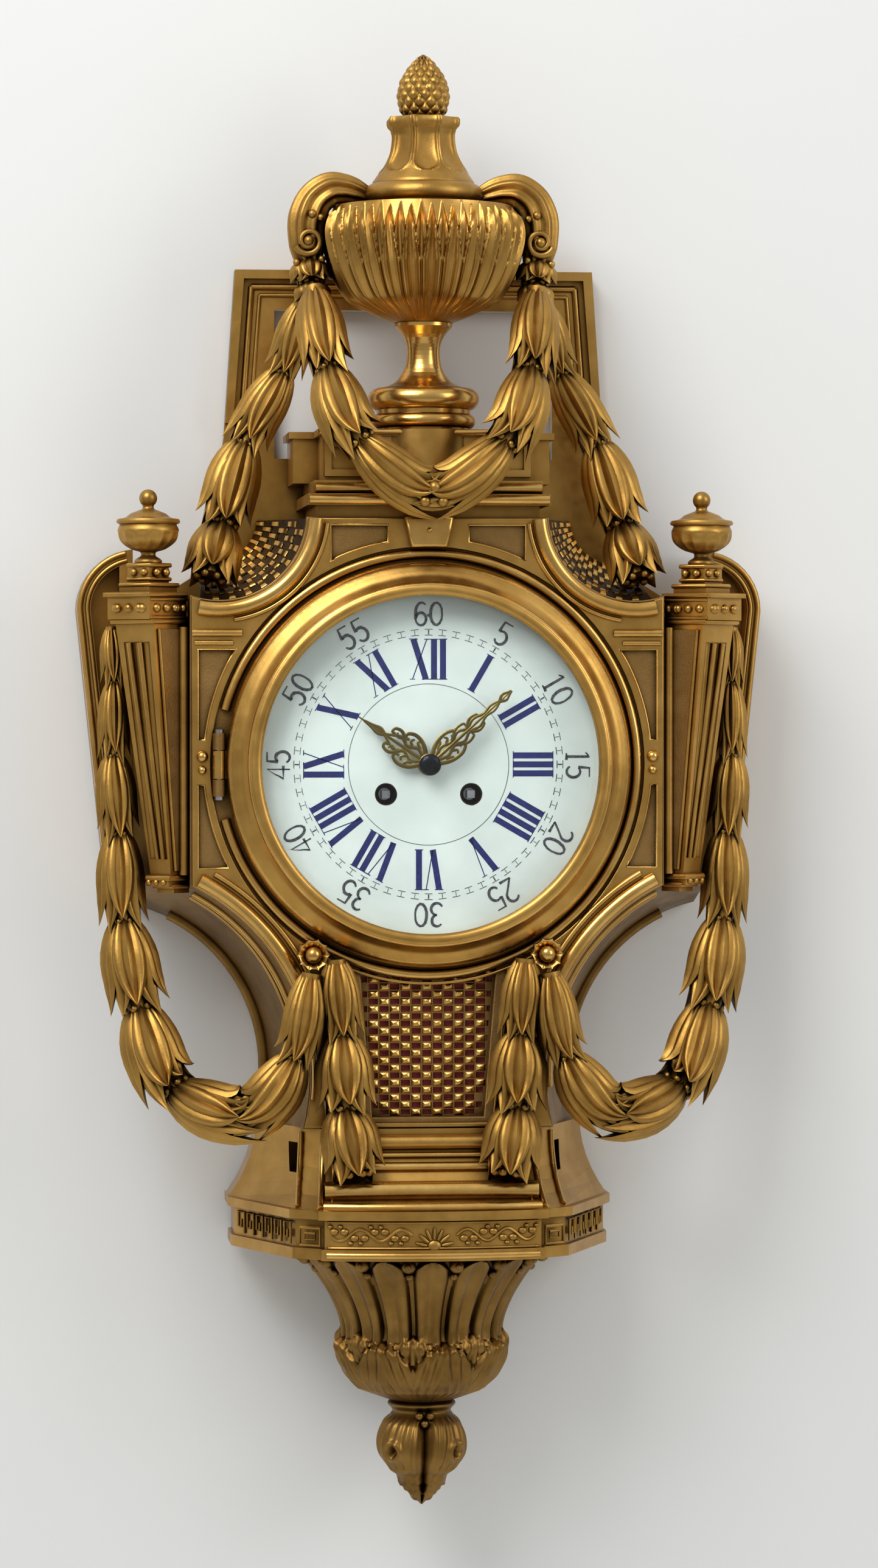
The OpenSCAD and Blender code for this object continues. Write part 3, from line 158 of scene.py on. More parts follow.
# A darker gilding paints the shade that falls on the walls behind the front and on the base below
shade_darkened_gilt = gilding("shade_darkened_gilding", "#735529", "#95723B", "#221407", (0.34, 0.48), 1.1, 0.08, 12)
print("gildings:", [m.name for m in bpy.data.materials if "gil" in m.name or "bronze" in m.name])

# %% [markdown]
# ## Enamel
# The dial is a copper plate with fired white enamel: a glassy skin over a faintly uneven
# white. The numerals are painted enamel fired on top, blue for the hours and black for the
# minutes. Flat colours would look printed, so a noise moves each colour a little and the coat
# of the surface gives the glaze, with a ripple of a few millimetres like the peel of an orange.

# %% Enamels
PEEL, PEEL_DEEP = 5, 0.1  # mm between ripples of the glaze, and their height


def enamel(name, low, high, rough, patch):
    """Fired enamel whose colour and gloss vary over patches of so many mm."""
    mat, tree, glaze, place = blank(name, IOR=1.52, Coat_Weight=0.35, Coat_Roughness=0.06)
    cloud = add(tree, "ShaderNodeTexNoise", {"Vector": place}, Scale=1000 / patch, Detail=4.0)
    paint = add(tree, "ShaderNodeValToRGB", {"Fac": cloud.outputs["Fac"]}, ((0.35, low), (0.65, high)))
    sheen = add(tree, "ShaderNodeMapRange", {"Value": cloud.outputs["Fac"]},
                To_Min=rough * 0.8, To_Max=rough * 1.2)
    peel = add(tree, "ShaderNodeTexNoise", {"Vector": place}, Scale=1000 / PEEL, Detail=1.0)
    bump = add(tree, "ShaderNodeBump", {"Height": peel.outputs["Fac"]},
               Strength=0.12, Distance=PEEL_DEEP / 1000)
    feed(tree, glaze, {"Base Color": paint.outputs["Color"], "Roughness": sheen.outputs["Result"],
                       "Normal": bump.outputs["Normal"]})
    return mat


white_enamel = enamel("fired_white_enamel", "#C2CDC9", "#CED9D5", 0.16, 30)
blue_enamel = enamel("fired_blue_numerals", "#0A1048", "#141E62", 0.24, 2)
black_enamel = enamel("fired_black_minutes", "#2B2D33", "#44464C", 0.28, 1.5)
print("enamels:", white_enamel.name, blue_enamel.name, black_enamel.name)

# %% [markdown]
# ## Glass and silk
# The glass is blown and ground convex, with a little dust on it. Its shadow would blacken the
# dial, because a path through clear glass rarely finds a lamp, so shadow rays pass straight
# through. The silk behind the grille is a plain weave. Two crossing waves draw its threads,
# which keeps them square without an image.

# %% Glass and silk
DUST_SPREAD, THREAD, THREAD_DEEP = 12, 0.6, 0.2  # mm; real threads are 0.3, drawn twice as wide to show
# Glass is about 1.5; the photograph shows hardly a reflection in it, so it is matched lower
clear_glass, tree, pane, place = blank("clear_convex_glass", Transmission_Weight=1.0, IOR=1.32,
                                       Base_Color=tint("#FBFDFC"))
dust = add(tree, "ShaderNodeTexNoise", {"Vector": place}, Scale=1000 / DUST_SPREAD, Detail=6.0)
haze = add(tree, "ShaderNodeMapRange", {"Value": dust.outputs["Fac"]},
           From_Min=0.45, From_Max=0.9, To_Max=0.05)
feed(tree, pane, {"Roughness": haze.outputs["Result"]})
unshaded = add(tree, "ShaderNodeMixShader", {
    0: add(tree, "ShaderNodeLightPath").outputs["Is Shadow Ray"], 1: pane.outputs["BSDF"],
    2: add(tree, "ShaderNodeBsdfTransparent").outputs["BSDF"]})
feed(tree, tree.nodes["Material Output"], {"Surface": unshaded.outputs["Shader"]})

red_silk, tree, cloth, place = blank("plain_weave_red_silk", Roughness=0.55, Sheen_Weight=0.35)
# Blender's wave repeats every 2 * pi / (20 * scale) metres
THREAD_SCALE = math.pi / 10 / (THREAD / 1000)
warp, weft = [add(tree, "ShaderNodeTexWave", {"Vector": place}, Scale=THREAD_SCALE, bands_direction=way,
                  Distortion=0.6) for way in "XZ"]
weave = add(tree, "ShaderNodeMath", {0: warp.outputs["Fac"], 1: weft.outputs["Fac"]}, operation="MULTIPLY")
dye = add(tree, "ShaderNodeValToRGB", {"Fac": weave.outputs["Value"]}, ((0, "#8C1C14"), (1, "#CE4432")))
threads = add(tree, "ShaderNodeBump", {"Height": weave.outputs["Value"]},
              Strength=0.5, Distance=THREAD_DEEP / 1000)
feed(tree, cloth, {"Base Color": dye.outputs["Color"], "Normal": threads.outputs["Normal"]})
print("glass and silk:", clear_glass.name, red_silk.name)

# %% [markdown]
# ## Metals of the movement
# Brass plates are grained with a stone in one direction, steel arbors are polished, the hand
# nut is blued almost black, the bell is turned, and the hands are sawn from gilt brass. A noise
# that is stretched along one axis gives the lines of the stone, and another one the patina. An
# anisotropic surface would need tangents, and these pieces are too small to show the gain.

# %% Clock metals
PATINA_SPREAD, SCRATCH_DEEP = 18, 0.04  # mm


def clock_metal(name, dark, light, rough, line, stretch):
    """A worked metal with lines of so many mm, drawn out along the clock by the stretch."""
    mat, tree, metal, place = blank(name, Metallic=1.0)
    run = add(tree, "ShaderNodeMapping", {"Vector": place}, Scale=(1 / stretch, 1, 1))
    lines = add(tree, "ShaderNodeTexNoise", {"Vector": run.outputs["Vector"]}, Scale=1000 / line, Detail=3.0)
    patina = add(tree, "ShaderNodeTexNoise", {"Vector": place}, Scale=1000 / PATINA_SPREAD, Detail=4.0)
    colour = add(tree, "ShaderNodeValToRGB", {"Fac": patina.outputs["Fac"]}, ((0.3, dark), (0.7, light)))
    gloss = add(tree, "ShaderNodeMapRange", {"Value": lines.outputs["Fac"]},
                To_Min=rough - 0.08, To_Max=rough + 0.08)
    bump = add(tree, "ShaderNodeBump", {"Height": lines.outputs["Fac"]},
               Strength=0.35, Distance=SCRATCH_DEEP / 1000)
    feed(tree, metal, {"Base Color": colour.outputs["Color"], "Roughness": gloss.outputs["Result"],
                       "Normal": bump.outputs["Normal"]})
    return mat


grained_brass = clock_metal("grained_clock_brass", "#A8843C", "#D2AE62", 0.34, 0.5, 14)
polished_steel = clock_metal("polished_arbor_steel", "#8E9196", "#B6B9BD", 0.30, 0.6, 6)
dark_steel = clock_metal("blued_steel_nut", "#17181C", "#2A2C33", 0.26, 0.6, 1)
bell_bronze = clock_metal("turned_bell_metal", "#9C8052", "#C6AC7C", 0.28, 0.8, 1)
pierced_gilt = clock_metal("pierced_gilt_brass", "#5B4D26", "#7E6E3C", 0.34, 0.7, 1)
print("materials so far:", len(bpy.data.materials))

# %% [markdown]
# ## Finishes of the solids
# Each solid of the frame gets the finish of the real piece: gilding on the case, brass and
# steel in the movement, while a darker gilding and a near-black bronze paint the shade on the
# case walls and in the shoulder lattice. A finish could be chosen by a rule on the names, but a
# plain list shows at a glance which pieces a gilder burnished and which stayed matt.

# %% Dress the solids
FINISHES = {
    burnished_gilt: "bezel urn_socle urn_cover swag_buttons",
    satin_gilt: """back_frame case_front pilaster_left pilaster_right corner_urn_left corner_urn_right
        side_wing_left side_wing_right pedestal waist frieze culot""",
    # A darker gilding paints the shade on the case walls
    shade_darkened_gilt: "case_walls",
    matt_gilt: """urn_bowl pinecone_finial urn_handle_left urn_handle_right crest_swag
        shoulder_swag_left shoulder_swag_right side_swag_left side_swag_right
        apron_drop_left apron_drop_right bottom_finial""",
    ground_gilt: "apron_grille",
    # A near-black bronze paints the shade in the holes of the shoulder lattice
    painted_shade_bronze: "upper_grilles",
    pierced_gilt: "minute_hand hour_hand",
    grained_brass: """front_plate back_plate plate_pillars mounting_lugs going_barrel strike_barrel
        centre_wheel third_wheel escape_wheel pin_wheel minute_wheel hour_wheel suspension_cock""",
    polished_steel: """hinge_pin urn_tie_rod cannon_pinion lug_screws going_arbor strike_arbor
        pallets hammer pendulum""",
    dark_steel: "hand_nut",
    bell_bronze: "bell",
    white_enamel: "dial",
    clear_glass: "bezel_glass",
    red_silk: "grille_silk",
}
for finish, names in FINISHES.items():
    for node_name in names.split():
        nodes[node_name].data.materials.clear()
        nodes[node_name].data.materials.append(finish)
bare = [node_name for node_name, solid in nodes.items() if not solid.data.materials]
print("finished:", len(nodes) - len(bare), "bare:", bare)

# %% [markdown]
# ## Tools for chased work
# Founders cast the ornaments from carved models, and chasers cut the leaves afterwards. They
# could be sculpted by hand, but then no size could be changed. Here each ornament is a mesh of
# rows of points with faces between the rows: a curve drawn through a few points gives its line,
# and a skin over rings of points gives its body.


# %% Curves and skins
def through(points, steps):
    """A smooth curve through the points, with that many steps between neighbours."""
    p = np.asarray(points, float)
    p = np.vstack([2 * p[0] - p[1], p, 2 * p[-1] - p[-2]])
    t = np.linspace(0, 1, steps, endpoint=False)[:, None]
    rows = []
    for a, b, c, d in zip(p, p[1:], p[2:], p[3:]):
        bend, turn = 2 * a - 5 * b + 4 * c - d, 3 * b - a - 3 * c + d
        rows.append(0.5 * (2 * b + (c - a) * t + bend * t**2 + turn * t**3))
    return np.vstack(rows + [p[-2:-1]])


def grid(rows, columns, ring=True):
    """Faces between rows of points, each row closed to a ring if asked."""
    faces = []
    for i in range(rows - 1):
        low, high = i * columns, (i + 1) * columns
        for j in range(columns if ring else columns - 1):
            k = (j + 1) % columns
            faces.append((low + j, low + k, high + k, high + j))
    return faces


def rings(rows):
    """A closed skin over rings of points, shape (rows, columns, 3), with both ends filled."""
    rows = np.asarray(rows, float)
    n, m = rows.shape[:2]
    points = np.vstack([rows.reshape(-1, 3), rows[0].mean(0), rows[-1].mean(0)])
    faces = grid(n, m)
    faces += [(n * m, (j + 1) % m, j) for j in range(m)]
    faces += [(n * m + 1, (n - 1) * m + j, (n - 1) * m + (j + 1) % m) for j in range(m)]
    return points, faces


def about(turns):
    """Angles all the way round."""
    return np.linspace(0, 2 * math.pi, turns, endpoint=False)


print("a curve through three points in five steps each:", len(through([(0, 0), (1, 1), (2, 0)], 5)))

# %% [markdown]
# ## Turned work, rods and pearls
# Vases and knobs were turned on a lathe before they were chased, so a lathe takes a profile and
# a formula for the relief that stands off it. A screw modifier could turn the profile too, but
# it knows nothing of relief. Rods follow a line, and pearls are small turned balls.


# %% Turned work, rods and pearls
def lathe(profile, depth, turns, relief=None, across=0.0):
    """(radius, height) pairs round an upright axis, with relief(angle, way) added to the radius."""
    profile = np.asarray(profile, float)
    angle = about(turns)
    walked = np.r_[0, np.cumsum(np.hypot(*np.diff(profile, axis=0).T))]
    radius = np.repeat(profile[:, :1], turns, 1)
    if relief:
        radius = np.maximum(radius + relief(angle[None, :], (walked / walked[-1])[:, None]), 0.05)
    height = np.repeat(profile[:, 1:], turns, 1)
    return rings(np.dstack([across + radius * np.sin(angle), depth + radius * np.cos(angle), height]))


def spun_rows(profile, x, z, turns, petals=0, rim=5):
    """(radius, depth) pairs round an axis from back to front, scalloped beyond the rim radius."""
    angle = about(turns)
    scallop = 0.14 * np.abs(np.sin(petals / 2 * angle)) ** 0.6
    rows = []
    for radius, depth in profile:
        r = radius * (1 - scallop * (radius > rim))
        rows.append(np.column_stack([x + r * np.cos(angle), np.full(turns, depth), z + r * np.sin(angle)]))
    return rows


def hoop(profile, x, z, turns):
    """A ring round an axis from back to front, its profile closed on itself."""
    points = np.vstack(spun_rows(profile, x, z, turns))
    return points, [tuple(i % len(points) for i in face) for face in grid(len(profile) + 1, turns)]


def tube(line, radius, sides=10, ridges=0, cut=0.0):
    """A rod along a line of points with a radius at each, ridged along its length if asked."""
    line = np.asarray(line, float)
    run = np.gradient(line, axis=0)
    run /= np.linalg.norm(run, axis=1)[:, None]
    # Any direction that no rod follows will do to start the first ring
    side = np.cross(run[0], [0.31, 0.83, 0.47])
    angle = about(sides)
    ridged = 1 + cut * np.cos(ridges * angle)
    rows = []
    for spot, ahead, r in zip(line, run, np.broadcast_to(radius, len(line))):
        side = side - ahead * side.dot(ahead)
        side /= np.linalg.norm(side)
        over = np.cross(ahead, side)
        ring = np.outer(np.cos(angle), side) + np.outer(np.sin(angle), over)
        rows.append(spot + r * ridged[:, None] * ring)
    return rings(rows)


def ball(centre, radius, sides=12):
    """A small pearl."""
    way = np.linspace(0.04, math.pi - 0.04, sides // 2 + 2)
    x = np.outer(np.sin(way), np.cos(about(sides)))
    y = np.outer(np.sin(way), np.sin(about(sides)))
    z = np.repeat(np.cos(way)[:, None], sides, 1)
    return rings(np.asarray(centre, float) + radius * np.dstack([x, y, z]))


print("a pearl has", len(ball([0, 0, 0], 1)[0]), "points")

# %% [markdown]
# ## Relief
# A chaser's cuts are ramps and rounded swells. Two short formulas of a place along the work
# describe both, and every relief below is a sum of them. A displacement map would do the same
# with a picture, but a formula stays sharp at any size.


# %% Ramps, swells and repeats
def rise(value, start, end):
    """A ramp from 0 at the start to 1 at the end, flat outside; it falls where the end comes first."""
    return np.clip((value - start) / (end - start), 0, 1)


def swell(value, centre, wide):
    """A rounded hump, 1 at its centre."""
    return np.exp(-(((value - centre) / wide) ** 2))


def from_middle(angle, count, shift=0.0):
    """For count repeats round a turned piece: 0 in the middle of each to 1 at its edges."""
    return np.abs((angle * count / 2 / math.pi + shift) % 1 - 0.5) * 2


print("half way up a ramp:", float(rise(1.5, 1, 2)))

# %% [markdown]
# ## Plates and blocks
# Flat pieces were sawn from sheet. A plate takes an outline and two depths, and a block has eight
# corners. Parts are joined to one mesh where one casting carried them, because a clock of a
# thousand objects would be slow to handle, and the left side mirrors the right.

# %% Plates, blocks, joints and mirror images
# Faces of a block with corners 0 to 3 behind and 4 to 7 in front
BLOCK = [(4, 5, 6, 7), (0, 1, 5, 4), (1, 2, 6, 5), (2, 3, 7, 6), (3, 0, 4, 7), (3, 2, 1, 0)]


def at_depth(outline, depth):
    """(x, z) pairs as points at one depth."""
    o = np.asarray(outline, float)
    return np.column_stack([o[:, 0], np.full(len(o), depth), o[:, 1]])


def plate(outline, back, front):
    """A flat plate from an outline of (x, z) pairs, between two depths."""
    n = len(outline)
    faces = [tuple(range(n))[::-1], tuple(range(n, 2 * n))]
    faces += [(j, (j + 1) % n, n + (j + 1) % n, n + j) for j in range(n)]
    return np.vstack([at_depth(outline, back), at_depth(outline, front)]), faces


def join(parts):
    """Several (points, faces) pairs as one."""
    points, faces, start = [], [], 0
    for p, f in parts:
        points.append(np.asarray(p, float).reshape(-1, 3))
        faces += [tuple(int(i) + start for i in face) for face in f]
        start += len(points[-1])
    return np.vstack(points), faces


def mirrored(part):
    """The same part on the other side of the clock."""
    points, faces = part
    return np.asarray(points, float) * [-1, 1, 1], [face[::-1] for face in faces]


print("a square plate has", len(plate([(0, 0), (1, 0), (1, 1), (0, 1)], 0, 1)[1]), "faces")

# %% [markdown]
# ## A finished piece
# Each mesh becomes an object with a finish, smooth shading that stops at sharp creases, and a
# body to ride on, so that it moves with the joint. Where a piece is the dressed form of a solid,
# it takes the place of that solid. Auto smooth by a modifier would do as well, but sharp edges
# that are kept in the mesh stay with the mesh itself.


# %% Pieces and pairs
def piece(name, part, finish, body="case", stands_for=(), crease=50):
    """A finished object from points in clockmaker's millimetres, riding on a body."""
    points, faces = part
    mesh = bpy.data.meshes.new(name)
    mesh.from_pydata(placed(points).tolist(), [], faces)
    work = bmesh.new()
    work.from_mesh(mesh)
    bmesh.ops.recalc_face_normals(work, faces=work.faces)
    work.to_mesh(mesh)
    work.free()
    mesh.polygons.foreach_set("use_smooth", [True] * len(mesh.polygons))
    mesh.set_sharp_from_angle(angle=math.radians(crease))
    mesh.materials.append(finish)
    made = bpy.data.objects.new(name, mesh)
    bpy.context.collection.objects.link(made)
    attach(made, body)
    if stands_for:
        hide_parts(*stands_for)
    return made


def pair(name, part, finish, stands_for=None):
    """A piece on the right of the clock and its mirror image on the left."""
    for hand, half in (("_right", part), ("_left", mirrored(part))):
        piece(name + hand, half, finish, stands_for=[stands_for + hand] if stands_for else ())


# %% [markdown]
# ## Husk swags
# The chains of opening buds hang from the urn and the capitals. Each husk is four broad outer
# leaves over four inner ones, wrapped round a short stem: a leaf is narrow where it grows,
# swells like a bud, has a cut rib with softer folds beside it, and ends in a point. Pearls fill
# the joints. In bronze each chain was cast in short lengths and pinned on. One husk could be
# copied along a curve by an array, but its leaves would tear at the bends, so each leaf is
# built round the curve itself.

# %% One leaf
HUSK_RADIUS, LINK = 12.5, 16  # the largest husk, and the steps of a chain from joint to joint
LEAF_WAY = np.array([0, 0.06, 0.14, 0.24, 0.35, 0.46, 0.57, 0.67, 0.76, 0.84, 0.9, 0.95, 0.98, 1.0])
# How far out a leaf stands and how wide it is on its way to the tip, in shares of the husk's radius
LEAF_OUT = np.interp(LEAF_WAY, [0, 0.1, 0.3, 0.5, 0.7, 0.85, 0.95, 1],
                     [0.34, 0.58, 0.88, 1.0, 0.98, 1.0, 1.09, 1.16])
LEAF_WIDE = np.interp(LEAF_WAY, [0, 0.1, 0.3, 0.5, 0.66, 0.8, 0.91, 1],
                      [0.26, 0.5, 0.8, 0.86, 0.74, 0.5, 0.24, 0.02])
half_across = np.array([0.1, 0.2, 0.32, 0.46, 0.58, 0.7, 0.84, 1])
LEAF_ACROSS = np.r_[-half_across[::-1], 0, half_across, 0.5, 0, -0.5]
# Three pleats: a strong rib in the middle, a groove either side of it, a softer fold by each edge
LEAF_FACE = 0.14 * (1 - LEAF_ACROSS**2) + 0.10 * swell(LEAF_ACROSS, 0, 0.11)
LEAF_FACE -= 0.10 * swell(np.abs(LEAF_ACROSS), 0.33, 0.12)
LEAF_FACE += 0.05 * swell(np.abs(LEAF_ACROSS), 0.66, 0.14)
LEAF_FACE[17:] = -0.08  # the last three points run back under the leaf
# Turn, reach out, width and length of the outer and the inner leaves
LEAF_ROWS = [(0.0, 1.0, 1.0, 1.04), (0.5, 0.84, 0.92, 1.15)]
print("points in a leaf:", len(LEAF_WAY) * len(LEAF_ACROSS))


# %% [markdown]
# ## Husks and chains
# A husk finds its place between two joints of a chain, and may look back along it, because the
# two halves of a swag look towards their lowest point. Random numbers could vary the leaves as a
# chaser's hand does, but small sines make no two alike and give the same result at every run.


# %% Husks and chains
def husk(line, start, size, back):
    """Leaves and pearls between two joints of a line, looking back along it if asked."""

    def spot(way):
        at = (start + (1 - way if back else way)) * LINK
        i = int(np.clip(at, 0, len(line) - 2))
        return line[i] + (line[i + 1] - line[i]) * (at - i)

    def across(way):
        ahead = spot(way + 0.05) - spot(way - 0.05)
        ahead /= np.linalg.norm(ahead)
        face = np.array([0, 1, 0]) - ahead * ahead[1]
        face /= np.linalg.norm(face)
        return face, np.cross(ahead, face)

    parts = []
    for turn, out, wide, length in LEAF_ROWS:
        for k in range(4):
            rows = []
            lean = 0.09 * math.sin(7 * k + 5 * start)
            long = length * (1 + 0.05 * math.sin(3 * k + 4 * start + turn))
            for way, r, w in zip(LEAF_WAY * long, LEAF_OUT * size * out, LEAF_WIDE * size * wide):
                face, over = across(way)
                a = math.pi / 2 * (k + turn) + lean * way + LEAF_ACROSS * w / r
                away = r + (LEAF_FACE - 0.1) * size * min(1.0, w / size * 2)
                ring = np.outer(np.cos(a), face) + np.outer(np.sin(a), over)
                rows.append(spot(way) + away[:, None] * ring)
            parts.append(rings(rows))
    face, over = across(1.0)
    for k in range(6):
        a = math.pi / 3 * (k + 0.5)
        at = spot(1.05) + 0.5 * size * (math.cos(a) * face + math.sin(a) * over)
        parts.append(ball(at, 0.12 * size + 0.5, 8))
    return parts


def swag(points, sizes, fore):
    """A whole chain: a husk from each point to the next, the first few looking ahead, and a stem."""
    line = through(points, LINK)
    parts = []
    for i, size in enumerate(sizes):
        parts += husk(line, i, HUSK_RADIUS * size, i >= fore)
    stem = np.interp(np.arange(len(line)) / LINK, np.arange(len(sizes)) + 0.5,
                     np.array(sizes) * HUSK_RADIUS * 0.5)
    return join(parts + [tube(line, stem, 10)])


crest = [(50, 69, 211.5), (45, 87, 176.5), (33, 97, 144), (0, 99, 120)]
crest += [(-x, d, z) for x, d, z in crest[-2::-1]]
crest_chain = [swag(crest, [0.8, 0.9, 0.85, 0.85, 0.9, 0.8], 3)]
# The two ends meet in a knot of pearls
for a in (0, 2.1, 4.2):
    crest_chain.append(ball([4.5 * math.sin(a), 107 + 2 * math.cos(a), 118 + 4 * math.cos(a)], 2.6))
piece("crest_garland", join(crest_chain), matt_gilt, stands_for=["crest_swag"])
HANGING = {
    "shoulder_swag": ([(54, 55, 206.5), (62, 49, 177.5), (79, 47, 145.5), (90, 52, 109.3), (96, 62, 84.3)],
                      [0.65, 0.75, 0.9, 0.9], 4),
    "side_swag": ([(140, 56, 61.3), (139, 58, 37.6), (139, 60, 5.3), (137, 61, -29), (135, 62, -68),
                   (128, 66, -106.6), (114, 74, -143), (81, 91, -154), (60, 93, -128), (53, 92, -92)],
                  [0.42, 0.52, 0.66, 0.78, 0.95, 1, 0.95, 0.9, 0.72], 7),
    "apron_drop": ([(42, 91, -86), (39.5, 91.5, -118), (38, 93, -150), (34.2, 96.4, -179)],
                   [0.7, 0.95, 0.95], 3),
}
for chain_name, (joints, sizes, fore) in HANGING.items():
    pair(chain_name + "_leaves", swag(joints, sizes, fore), matt_gilt, chain_name)
print("swags:", 1 + 2 * len(HANGING))

# %% [markdown]
# ## The urn
# Turned on a lathe and then chased: tall pointed leaves stand round the bowl with the tips of
# a second row between them, the cover is fluted, and the pinecone is cut into lozenge scales by
# two sets of crossing spirals. Leaves could be modelled one by one and set round the bowl, but
# cast leaves have no gap behind them, so each piece is a lathe whose radius carries the relief.

# %% Bowl
URN_DEPTH, FOOT, RIM, COVER_TOP = 55, 197.5, 249.5, 289.5
BOWL_LEAVES, LEAF_HIGH, LEAF_SHOULDER, LEAF_TIP = 28, 2.9, 0.46, 0.775


def bowl_relief(angle, way):
    """Pointed leaves that narrow from their shoulder to their tip, and a lower row between them."""

    def row(shift, tip, high):
        t = from_middle(angle, BOWL_LEAVES, shift)
        half = rise(way, tip, LEAF_SHOULDER) ** 0.85
        edge = rise(half - t, 0, 0.16)
        hollow = 1 - 0.45 * swell(t, 0.5 * half, 0.2)
        rib = 0.35 * swell(t, 0, 0.12) * (half > 0.05)
        return high * (edge * hollow + rib * edge)

    front, behind = row(0.5, LEAF_TIP, LEAF_HIGH), row(0.0, LEAF_TIP + 0.02, 0.55 * LEAF_HIGH)
    return np.maximum(front, behind) * rise(way, 0, 0.25)


bowl_curve = through([(14, 0), (22, 4), (32.1, 10.4), (39.6, 22.9), (44, 40), (41.8, 52)], 16)
bowl_line = np.vstack([bowl_curve + [-1.4, FOOT], [(38, RIM), (24, RIM)]])
bowl = lathe(bowl_line, URN_DEPTH, BOWL_LEAVES * 24, bowl_relief)
piece("urn_bowl_leaves", bowl, satin_gilt, stands_for=["urn_bowl"])
print("bowl from", round(float(bowl_line[0, 1]), 1), "to", RIM)

# %% [markdown]
# ## Cover and pinecone
# Eight flutes with round ends hollow the neck of the cover, each in a thin fillet, and scallops
# crown it. The flutes could be cut with booleans, but a formula leaves clean rows of faces.


# %% Cover and pinecone
def cover_flutes(angle, way):
    """Hollows with round upper ends and fillets, and scallops round the crown."""
    t = from_middle(angle, 8, 0.5)
    round_end = np.sqrt(np.clip(1 - (1 - rise(way, 0.33, 0.43)) ** 2, 0, 1))
    half = 0.82 * round_end * rise(way, 0.86, 0.84)
    hollow = np.sqrt(np.clip(1 - (t / np.maximum(half, 1e-3)) ** 2, 0, 1)) * (half > 0.05)
    fillet = swell(t - half, 0.08, 0.08) * (half > 0.05)
    scallop = rise(way, 0.86, 0.89) * rise(way, 0.985, 0.975)
    return -1.9 * hollow + 0.5 * fillet - 1.2 * scallop * rise(t, 0.7, 1)


cover_line = [(23.5, 0), (25, 1)]
cover_line += [(22 + 4.8 * math.cos(a), 5.6 + 4.8 * math.sin(a)) for a in np.linspace(-0.9, 1.35, 12)]
cover_line += list(through([(22.8, 11.2), (18.9, 17), (15.3, 24), (14.2, 31), (14.8, 34.6)], 12))
cover_line += [(16.2, 36), (16.6, 37.2), (16.6, 39), (15.8, 40), (4, 40)]
cover = lathe(np.asarray(cover_line) + [0, RIM], URN_DEPTH, 320, cover_flutes)
piece("urn_cover_flutes", cover, matt_gilt, stands_for=["urn_cover"])


def cone_scales(angle, way):
    """Lozenges where two sets of spirals cross."""
    one, other = [np.abs(np.sin(6 * angle + turn * way)) for turn in (15, -15)]
    return (1.5 * np.sqrt(one * other) - 0.6) * rise(way, 0, 0.08) * rise(way, 1, 0.94)


cone_line = through([(8.5, 0), (10.2, 4), (11.2, 10), (9.4, 17.4), (5, 24), (0.5, 28.4)], 18) + [0, COVER_TOP]
cone = lathe(cone_line, URN_DEPTH, 192, cone_scales)
piece("pinecone_scales", cone, matt_gilt, stands_for=["pinecone_finial"])
print("pinecone ends at", round(float(cone_line[-1, 1]), 1))

# %% [markdown]
# ## Horn handles
# Two thick ram's horns spring from the cover's torus, roll over and hug the bowl, ribbed along
# their length and growing thinner towards the root. Pearls and a volute sit on the bend, and
# a husk of leaves clasps the root where the swags hang. A bevelled curve could make the horn,
# but its ribs need a ring of points that is not round.

# %% Horns
horn = through([(23, 0, 56), (30, 0, 58.6), (36, 0, 60), (42.5, 0, 59.5), (49, 0, 54.5), (52.3, 0, 46),
                (52.6, 0, 37), (51.6, 0, 29), (50.6, 0, 22), (50, 0, 16)], 10)
horn_thick = np.interp(np.linspace(0, 1, len(horn)), [0, 0.12, 0.34, 0.54, 0.7, 0.86, 1],
                       [3.2, 5.4, 7.4, 8.2, 7.4, 5.2, 4.0])
horns = [tube(horn + [0, URN_DEPTH, FOOT], horn_thick, 64, 8, 0.13)]
# A volute lies on the outside of the bend, drawn as a spiral that shrinks to its eye
EYE_OUT, EYE_UP = 52, FOOT + 36
coil = np.linspace(0.4, 3.6 * math.pi, 60)
coil_radius = 6.4 * (1 - coil / 13.5)
volute = np.column_stack([EYE_OUT + coil_radius * np.cos(coil), URN_DEPTH + 6.6 + 0.16 * coil,
                          EYE_UP - coil_radius * np.sin(coil)])
horns.append(tube(volute, np.linspace(1.7, 0.9, 60), 10))
for x, out, z, r in ((EYE_OUT, 8.2, 36, 2.4), (46.6, 7.4, 46.5, 1.7), (50.4, 8.0, 48, 2.0),
                     (46.2, 6.4, 28, 1.8), (57.2, 5.4, 26.5, 1.8)):
    horns.append(ball([x, URN_DEPTH + out, FOOT + z], r))
clasp = through([(51.6, 56, 226), (50.6, 58, 216), (50, 60, 207)], LINK)
horns += husk(clasp, 0, 8.4, False) + husk(clasp, 1, 7.4, False)
pair("ram_horn", join(horns), matt_gilt, "urn_handle")
print("horns reach", round(float(horn[:, 0].max() + horn_thick.max()), 1), "mm from the middle")

# %% [markdown]
# ## Hours of the dial
# Hours are painted radially in blue Roman numerals with thick and thin strokes and fine serifs,
# all with their feet to the centre. Blender's text objects could set them, but no common font
# has these brush strokes, so each stroke is a flat ribbon a few hundredths of a millimetre
# above the enamel, turned to its place.

# %% Roman hours
DIAL_FRONT, PAINT = 80.0, 0.06  # depth of the enamel and thickness of the paint


